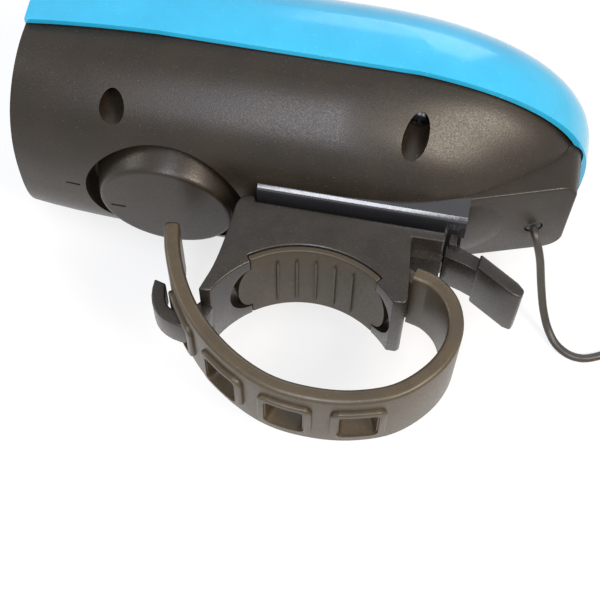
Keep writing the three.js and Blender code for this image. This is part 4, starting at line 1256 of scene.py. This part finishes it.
bracket = cut(bracket, side_slab(pad_seat(PAD_REACH), -BIG, BIG))
soften(bracket, BRACKET_EDGE, 3, 55, on_seat_rim)
for end in (-1, 1):
    bracket = cut(bracket, oval_post(90 + end * PAD_REACH, SADDLE_R - 2, recess_r, 3.9, TONGUE_WIDE + GAP))
bracket = cut(bracket, axle(PIN_X, PIN_Z, EYE_R + GAP, STRAP_NECK + GAP, 40))
bracket = cut(bracket, block(PIN_X, 20, -STRAP_NECK - GAP, STRAP_NECK + GAP, 13.4, PIN_Z + 1.2))
bracket = cut(bracket, axle(PIN_X, PIN_Z, PIN_R + GAP, CLAMP_WIDE - 0.6, 24))
finished("bar_bracket", bracket, "clamp", filled_nylon, ["clamp_bracket"], 32)

# %% [markdown]
# ## The ribbed pad
#
# The pad is a curved strip of silicone with five narrow ribs across it, so that it grips bars of
# slightly different sizes. Each end has a rounded tongue in a deeper rounded seat, which leaves a dark
# crescent between the pad and the saddle.

# %% Ribbed pad
RIB_STEP, RIB_WIDE, RIB_COUNT, PAD_FACE = 10.5, 1.1, 5, 0.4
pad_outer = BAR_R + PAD_THICK
face_r = BAR_R + PAD_FACE
pad_line = arc(0, 0, pad_outer, 90 + PAD_REACH, 90 - PAD_REACH, 72)
pad_line += arc(0, 0, face_r, 90 - PAD_REACH, 90 + PAD_REACH, 72)
pad = side_slab(pad_line, -CLAMP_WIDE, CLAMP_WIDE)
soften(pad, 0.35, 4, 60)
for end in (-1, 1):
    turn = 90 + end * PAD_REACH
    sweep = [turn - 9, turn + 9]
    tongue = side_slab([*arc(0, 0, pad_outer, *sweep, 12), *arc(0, 0, face_r, *sweep[::-1], 12)], -BIG, BIG)
    pad = join(pad, common(tongue, oval_post(turn, SADDLE_R - 2, pad_outer + 1, 2.3, TONGUE_WIDE)))
for i in range(RIB_COUNT):
    turn = 90 + RIB_STEP * (i - (RIB_COUNT - 1) / 2)
    rib_line = [*arc(0, 0, BAR_R, turn - RIB_WIDE / 2, turn + RIB_WIDE / 2, 2)]
    rib_line += arc(0, 0, face_r + 0.2, turn + RIB_WIDE, turn - RIB_WIDE, 2)
    pad = join(pad, side_slab(rib_line, -6.0, 6.6))
finished("ribbed_pad", pad, "clamp", pad_silicone, ["bar_pad"], 40)

# %% [markdown]
# ## The ladder strap
#
# A strap is moulded flat and bent in use, so it is modelled the same way. Flat, it is a long bar with
# well rounded edges, four raised frames and a hole through each. It is then sliced across at many
# places, which gives it vertices to bend with, and every vertex is carried from the flat bar to the
# curve that the strap follows round the handlebar.

# %% Strap sizes and line
HOLE_LONG, HOLE_WIDE, RIM_WIDE, RIM_PROUD, HOLE_PITCH = 5.4, 3.6, 1.3, 0.7, 10.6
HOOKED_HOLE_X = -17.9
STRAP_LINE = [
    (PIN_X, PIN_Z),
    (14.6, 16.5),
    (17.9, 15.5),
    (20.7, 13.1),
    (22.1, 9.5),
    (21.9, 5.9),
    (20.0, 1.8),
    (15.5, -2.6),
    (9.6, -4.9),
    (3.4, -5.6),
    (-3.1, -4.9),
    (-8.9, -2.4),
    (-14.0, 1.4),
    (-17.4, 5.2),
    (-20.0, 9.5),
    (-21.9, 14.3),
    (-22.8, 18.3),
]
strap_points = spline([(x, 0, z) for x, z in STRAP_LINE], 24)
strap_marks = [0.0]
for a, b in zip(strap_points, strap_points[1:]):
    strap_marks.append(strap_marks[-1] + (b - a).length)
strap_long = strap_marks[-1]


def on_strap(along):
    """The strap's middle line and its outward normal, so many millimetres from the pin."""
    i = 1
    while i < len(strap_marks) - 1 and strap_marks[i] < along:
        i += 1
    share = (along - strap_marks[i - 1]) / (strap_marks[i] - strap_marks[i - 1])
    place = strap_points[i - 1].lerp(strap_points[i], share)
    before = strap_points[max(i - 2, 0)]
    after = strap_points[min(i + 1, len(strap_points) - 1)]
    tangent = (after - before).normalized()
    return place, Vector((-tangent.z, 0, tangent.x))


hooked = strap_long
while on_strap(hooked)[0].x < HOOKED_HOLE_X:
    hooked -= 0.1
hole_places = [hooked - i * HOLE_PITCH for i in range(4)]
print(f"strap: {strap_long:.1f} mm from the pin to its end, holes at", [round(h, 1) for h in hole_places])

# %% Ladder strap
HALF = STRAP_THICK / 2
BEAD_R = 0.7  # the strap's long edges are well rounded
ROOT_LONG = 4.6
flat_strap = block(ROOT_LONG, strap_long, -STRAP_WIDE, STRAP_WIDE, -HALF, HALF)
soften(flat_strap, BEAD_R, 5, 50, lambda e: max(v.co.x for v in e.verts) > ROOT_LONG + 1)
root = block(0.4, ROOT_LONG + 3, -STRAP_NECK, STRAP_NECK, -HALF, HALF)
soften(root, 0.5, 3)
flat_strap = join(flat_strap, root)
for place in hole_places:
    frame_plan = rounded_rectangle(
        place - HOLE_LONG / 2 - RIM_WIDE,
        place + HOLE_LONG / 2 + RIM_WIDE,
        -HOLE_WIDE - RIM_WIDE,
        HOLE_WIDE + RIM_WIDE,
        1.5,
        6,
    )
    frame_rim = plan_slab(frame_plan, 0, HALF + RIM_PROUD)
    soften(frame_rim, 0.35, 3, 60)
    flat_strap = join(flat_strap, frame_rim)
for place in hole_places:
    ends = place - HOLE_LONG / 2, place + HOLE_LONG / 2
    plan = rounded_rectangle(*ends, -HOLE_WIDE, HOLE_WIDE, 0.9, 5)
    flat_strap = cut(flat_strap, plan_slab(plan, -5, 5))
    mouth_rim = plan_slab(plan, HALF + RIM_PROUD - 0.25, 5)
    bmesh.ops.scale(
        mouth_rim,
        verts=mouth_rim.verts,
        vec=(1.08, 1.08, 1),
        space=Matrix.Translation((-sum(x for x, _ in plan) / len(plan), 0, 0)),
    )
    flat_strap = cut(flat_strap, mouth_rim)

SLICE = 0.8
along = 0.8
while along < strap_long:
    geometry = [*flat_strap.verts, *flat_strap.edges, *flat_strap.faces]
    bmesh.ops.bisect_plane(flat_strap, geom=geometry, dist=1e-5, plane_co=(along, 0, 0), plane_no=(1, 0, 0))
    along += SLICE
for v in flat_strap.verts:
    place, outward = on_strap(v.co.x)
    v.co = place + outward * v.co.z + Vector((0, v.co.y, 0))
eye = axle(PIN_X, PIN_Z, EYE_R, STRAP_NECK, 48)
strap = cut(join(flat_strap, eye), axle(PIN_X, PIN_Z, PIN_R + GAP, 20, 32))
finished("ladder_strap", strap, "clamp", strap_silicone, ["strap"], 34)

# %% [markdown]
# The strap turns on a plain steel pin, zinc plated, so a turned bar with softened ends is enough.

# %% Pin
pin = axle(PIN_X, PIN_Z, PIN_R, CLAMP_WIDE - 0.9, 40)
soften(pin, 0.2, 2, 60)
finished("cross_pin", pin, "clamp", zinc_steel, ["strap_pin"], 40)

# %% [markdown]
# ## The thumb lever
#
# The lever is moulded of the same nylon. Its arm leaves the bracket's rear end and its wider tab turns
# down, where a thumb presses it; a tooth on top catches the rail. Both parts are side views pushed
# across, with rounded corners.

# %% Thumb lever
LEVER_WIDE, TAB_WIDE = 4.5, 6.0
arm_line = [(18.9, 23.5), (19.2, 24.1), (20.9, 24.1), (21.3, 23.6)]
arm_line += [(24.9, 22.2), (24.6, 19.8), (22.3, 20.7), (18.9, 21.7)]
tab_line = [(24.4, 22.4), (30.6, 18.5), (31.7, 17.4), (31.2, 16.0), (29.9, 16.3), (24.1, 19.9)]
arm = side_slab(arm_line, -LEVER_WIDE, LEVER_WIDE)
soften(arm, 0.25, 3, 35)
tab = side_slab(tab_line, -TAB_WIDE, TAB_WIDE)
soften(tab, 0.4, 4, 35)
tooth = block(RAIL_REAR - 2.2, RAIL_REAR - 1, -TAB_WIDE, TAB_WIDE, 23, RAIL_Z - GAP)
soften(tooth, 0.15, 2)
lever = join(join(arm, tab), tooth)
finished("thumb_lever", lever, "lever", filled_nylon, ["release_lever"], 32)

# %% [markdown]
# ## The remote switch
#
# At the lead's end is a small switch that straps beside the grip: a rounded black case on a rubber
# foot, with one domed red button. It lies on the ground beside the coil, which a thin nylon tie holds.

# %% Remote switch
remote_low, remote_high = (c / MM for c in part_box("remote_housing"))
remote_x, remote_y = (remote_low.x + remote_high.x) / 2, (remote_low.y + remote_high.y) / 2
foot_low, foot_high = (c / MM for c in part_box("remote_base"))
key_low, key_high = (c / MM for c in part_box("remote_button"))
REMOTE_CORNER, REMOTE_WALL, KEY_R = 5.0, 1.5, 4.0


def remote_plan(inset):
    """The remote's plan, this much smaller all round."""
    return rounded_rectangle(
        remote_low.x + inset,
        remote_high.x - inset,
        remote_low.y + inset,
        remote_high.y - inset,
        REMOTE_CORNER - inset,
        10,
    )


def in_row(bm):
    """Scale a solid modelled where it lies, in millimetres, to metres."""
    bmesh.ops.scale(bm, verts=bm.verts, vec=(MM, MM, MM))
    return bm


case = plan_slab(remote_plan(0), remote_low.z, remote_high.z)
soften(case, 1.3, 5, 60, lambda e: min(v.co.z for v in e.verts) > remote_high.z - 0.1)
case = cut(case, plan_slab(remote_plan(REMOTE_WALL), remote_low.z - 1, remote_high.z - 1.6))
case = cut(case, post(remote_x, remote_y, KEY_R + GAP, 0, BIG, 64))
remote_case = finished(
    "remote_case", in_row(case), "lamp", spark_eroded_abs, ["remote_housing"], 35, laid=False
)

foot = plan_slab(remote_plan(0.4), foot_low.z, foot_high.z)
soften(foot, 0.3, 3, 60)
remote_foot = finished(
    "remote_foot", in_row(foot), "lamp", soft_rubber, ["remote_base"], 35, laid=False
)

KEY_CROWN = 1.2
key_profile = [(0, key_low.z), (KEY_R, key_low.z), (KEY_R, key_high.z - KEY_CROWN)]
for degrees in range(15, 90, 15):
    turn = math.radians(degrees)
    key_profile.append((KEY_R * math.cos(turn), key_high.z - KEY_CROWN + KEY_CROWN * math.sin(turn)))
key_profile += [(0, key_high.z)]
remote_key = finished(
    "remote_key",
    in_row(turned(key_profile, (remote_x, remote_y, 0), steps=64)),
    "remote_key",
    red_silicone,
    ["remote_button"],
    50,
    laid=False,
)

# %% Coil tie
TIE_THICK = 0.45
tie_low, tie_high = (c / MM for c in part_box("coil_tie"))


def along_tie(edge):
    """Whether an edge runs along the tie's width."""
    return abs(edge.verts[0].co.x - edge.verts[1].co.x) > 1


def tie_block(inset, longer):
    """The tie's outline, smaller all round by an inset, and longer at its open ends."""
    y0, y1 = tie_low.y + inset, tie_high.y - inset
    z0, z1 = tie_low.z + inset, tie_high.z - inset
    return block(tie_low.x - longer, tie_high.x + longer, y0, y1, z0, z1)


band = soften(tie_block(0, 0), 0.9, 4, 60, along_tie)
band = cut(band, soften(tie_block(TIE_THICK, 1), 0.5, 4, 60, along_tie))
coil_band = finished(
    "coil_band", in_row(band), "lamp", filled_nylon, ["coil_tie"], 40, laid=False
)

# %% [markdown]
# The remote's case and foot and the tie ride on the lamp's body, as the lead does, and the red key on a
# body of its own.

# %% [markdown]
# ## What is inside
#
# The pieces inside the case don't show unless it is opened, so they keep their CAD shapes and only
# get their finishes: a sleeved cell, green boards, turned aluminium, dark phenolic and rubber.

# %% Finishes of the inner pieces
INNER = {
    "shell_seal": soft_rubber,
    "led_board": turned_aluminium,
    "heat_sink": turned_aluminium,
    "battery_cell": shrink_sleeve,
    "battery_cradle": phenolic,
    "main_board": solder_mask,
    "usb_socket": zinc_steel,
    "button_board": solder_mask,
    "tact_switch": phenolic,
    "horn_gasket": soft_rubber,
    "horn_sounder": phenolic,
    "remote_switch": phenolic,
}
for name, material in INNER.items():
    nodes[name].data.materials.clear()
    nodes[name].data.materials.append(material)
print("inner pieces finished:", len(INNER))

# %% [markdown]
# ## Floor and light
#
# The floor is plain and pale. The camera, reflections and clear parts see it white, and the light
# that bounces off it is faintly wheat-coloured. The lit part of its shader keeps the soft shadow. A
# softbox on the right gives the sheen on the belly beside the plinth. A long strip overhead draws
# the bright line on the rail's round edge. Two dimmer ones fill in from behind and from the left,
# and the pale world does the rest.

# %% Floor
FLOOR_HALF = 1.5
PLAIN_SHARE = 0.72  # of the floor's colour that stays white, whatever falls on it


def seen_directly(tree):
    """A shader value that is 1 for camera, glossy and transmission rays."""
    rays = add(tree, "LightPath").outputs
    seen = rays["Is Camera Ray"]
    for kind in ("Is Glossy Ray", "Is Transmission Ray"):
        seen = add(tree, "Math", {"operation": "MAXIMUM"}, {0: seen, 1: rays[kind]}).outputs[0]
    return seen


floor_bm = bmesh.new()
bmesh.ops.create_grid(floor_bm, x_segments=1, y_segments=1, size=FLOOR_HALF)
floor_mesh = bpy.data.meshes.new("floor")
floor_bm.to_mesh(floor_mesh)
floor_bm.free()
floor = bpy.data.objects.new("floor", floor_mesh)
bpy.context.scene.collection.objects.link(floor)

floor_paint, tree, output = new_material("pale_floor")
lit_white = add(tree, "BsdfDiffuse", inputs={"Color": linear("#ffffff")})
plain_white = add(tree, "Emission", inputs={"Color": linear("#ffffff"), "Strength": 1.0})
to_eye = add(
    tree, "MixShader", inputs={0: PLAIN_SHARE, 1: lit_white.outputs[0], 2: plain_white.outputs[0]}
)
wheat = add(tree, "Emission", inputs={"Color": linear("#f8e4c0"), "Strength": 0.9})
both = add(
    tree, "MixShader", inputs={0: seen_directly(tree), 1: wheat.outputs[0], 2: to_eye.outputs[0]}
)
tree.links.new(both.outputs[0], output.inputs["Surface"])
floor_mesh.materials.append(floor_paint)

# %% World and lamps
world = bpy.data.worlds.new("studio")
bpy.context.scene.world = world
world.use_nodes = True
world.node_tree.nodes.clear()
tree = world.node_tree
soft = add(tree, "Background", inputs={"Color": linear("#dfe3ea"), "Strength": 0.34})
white = add(tree, "Background", inputs={"Color": linear("#ffffff"), "Strength": 1.0})
sky = add(tree, "MixShader", inputs={0: seen_directly(tree), 1: soft.outputs[0], 2: white.outputs[0]})
world_output = tree.nodes.new("ShaderNodeOutputWorld")
tree.links.new(sky.outputs[0], world_output.inputs["Surface"])


AIM = Vector((0, 0, 0.02))  # the lamp's middle


def softbox(name, place, wide, long, watts, colour):
    """A rectangular area lamp aimed at the lamp's middle."""
    light = bpy.data.lights.new(name, "AREA")
    light.shape = "RECTANGLE"
    light.size, light.size_y = wide, long
    light.energy = watts
    light.color = linear(colour)[:3]
    box = bpy.data.objects.new(name, light)
    bpy.context.scene.collection.objects.link(box)
    box.location = place
    box.rotation_mode = "QUATERNION"
    box.rotation_quaternion = (AIM - Vector(place)).to_track_quat("-Z", "Y")


softbox("key_softbox", (0.33, -0.19, 0.4), 0.2, 0.2, 2.4, "#fff0dc")
softbox("strip_softbox", (-0.02, -0.32, 0.5), 0.1, 0.5, 2.4, "#f2f5ff")
softbox("rear_softbox", (0.1, 0.5, 0.35), 0.3, 0.3, 0.8, "#dfe9ff")
softbox("left_softbox", (-0.5, 0.0, 0.35), 0.25, 0.25, 0.8, "#fffaf2")

bpy.context.scene.view_settings.view_transform = "Standard"
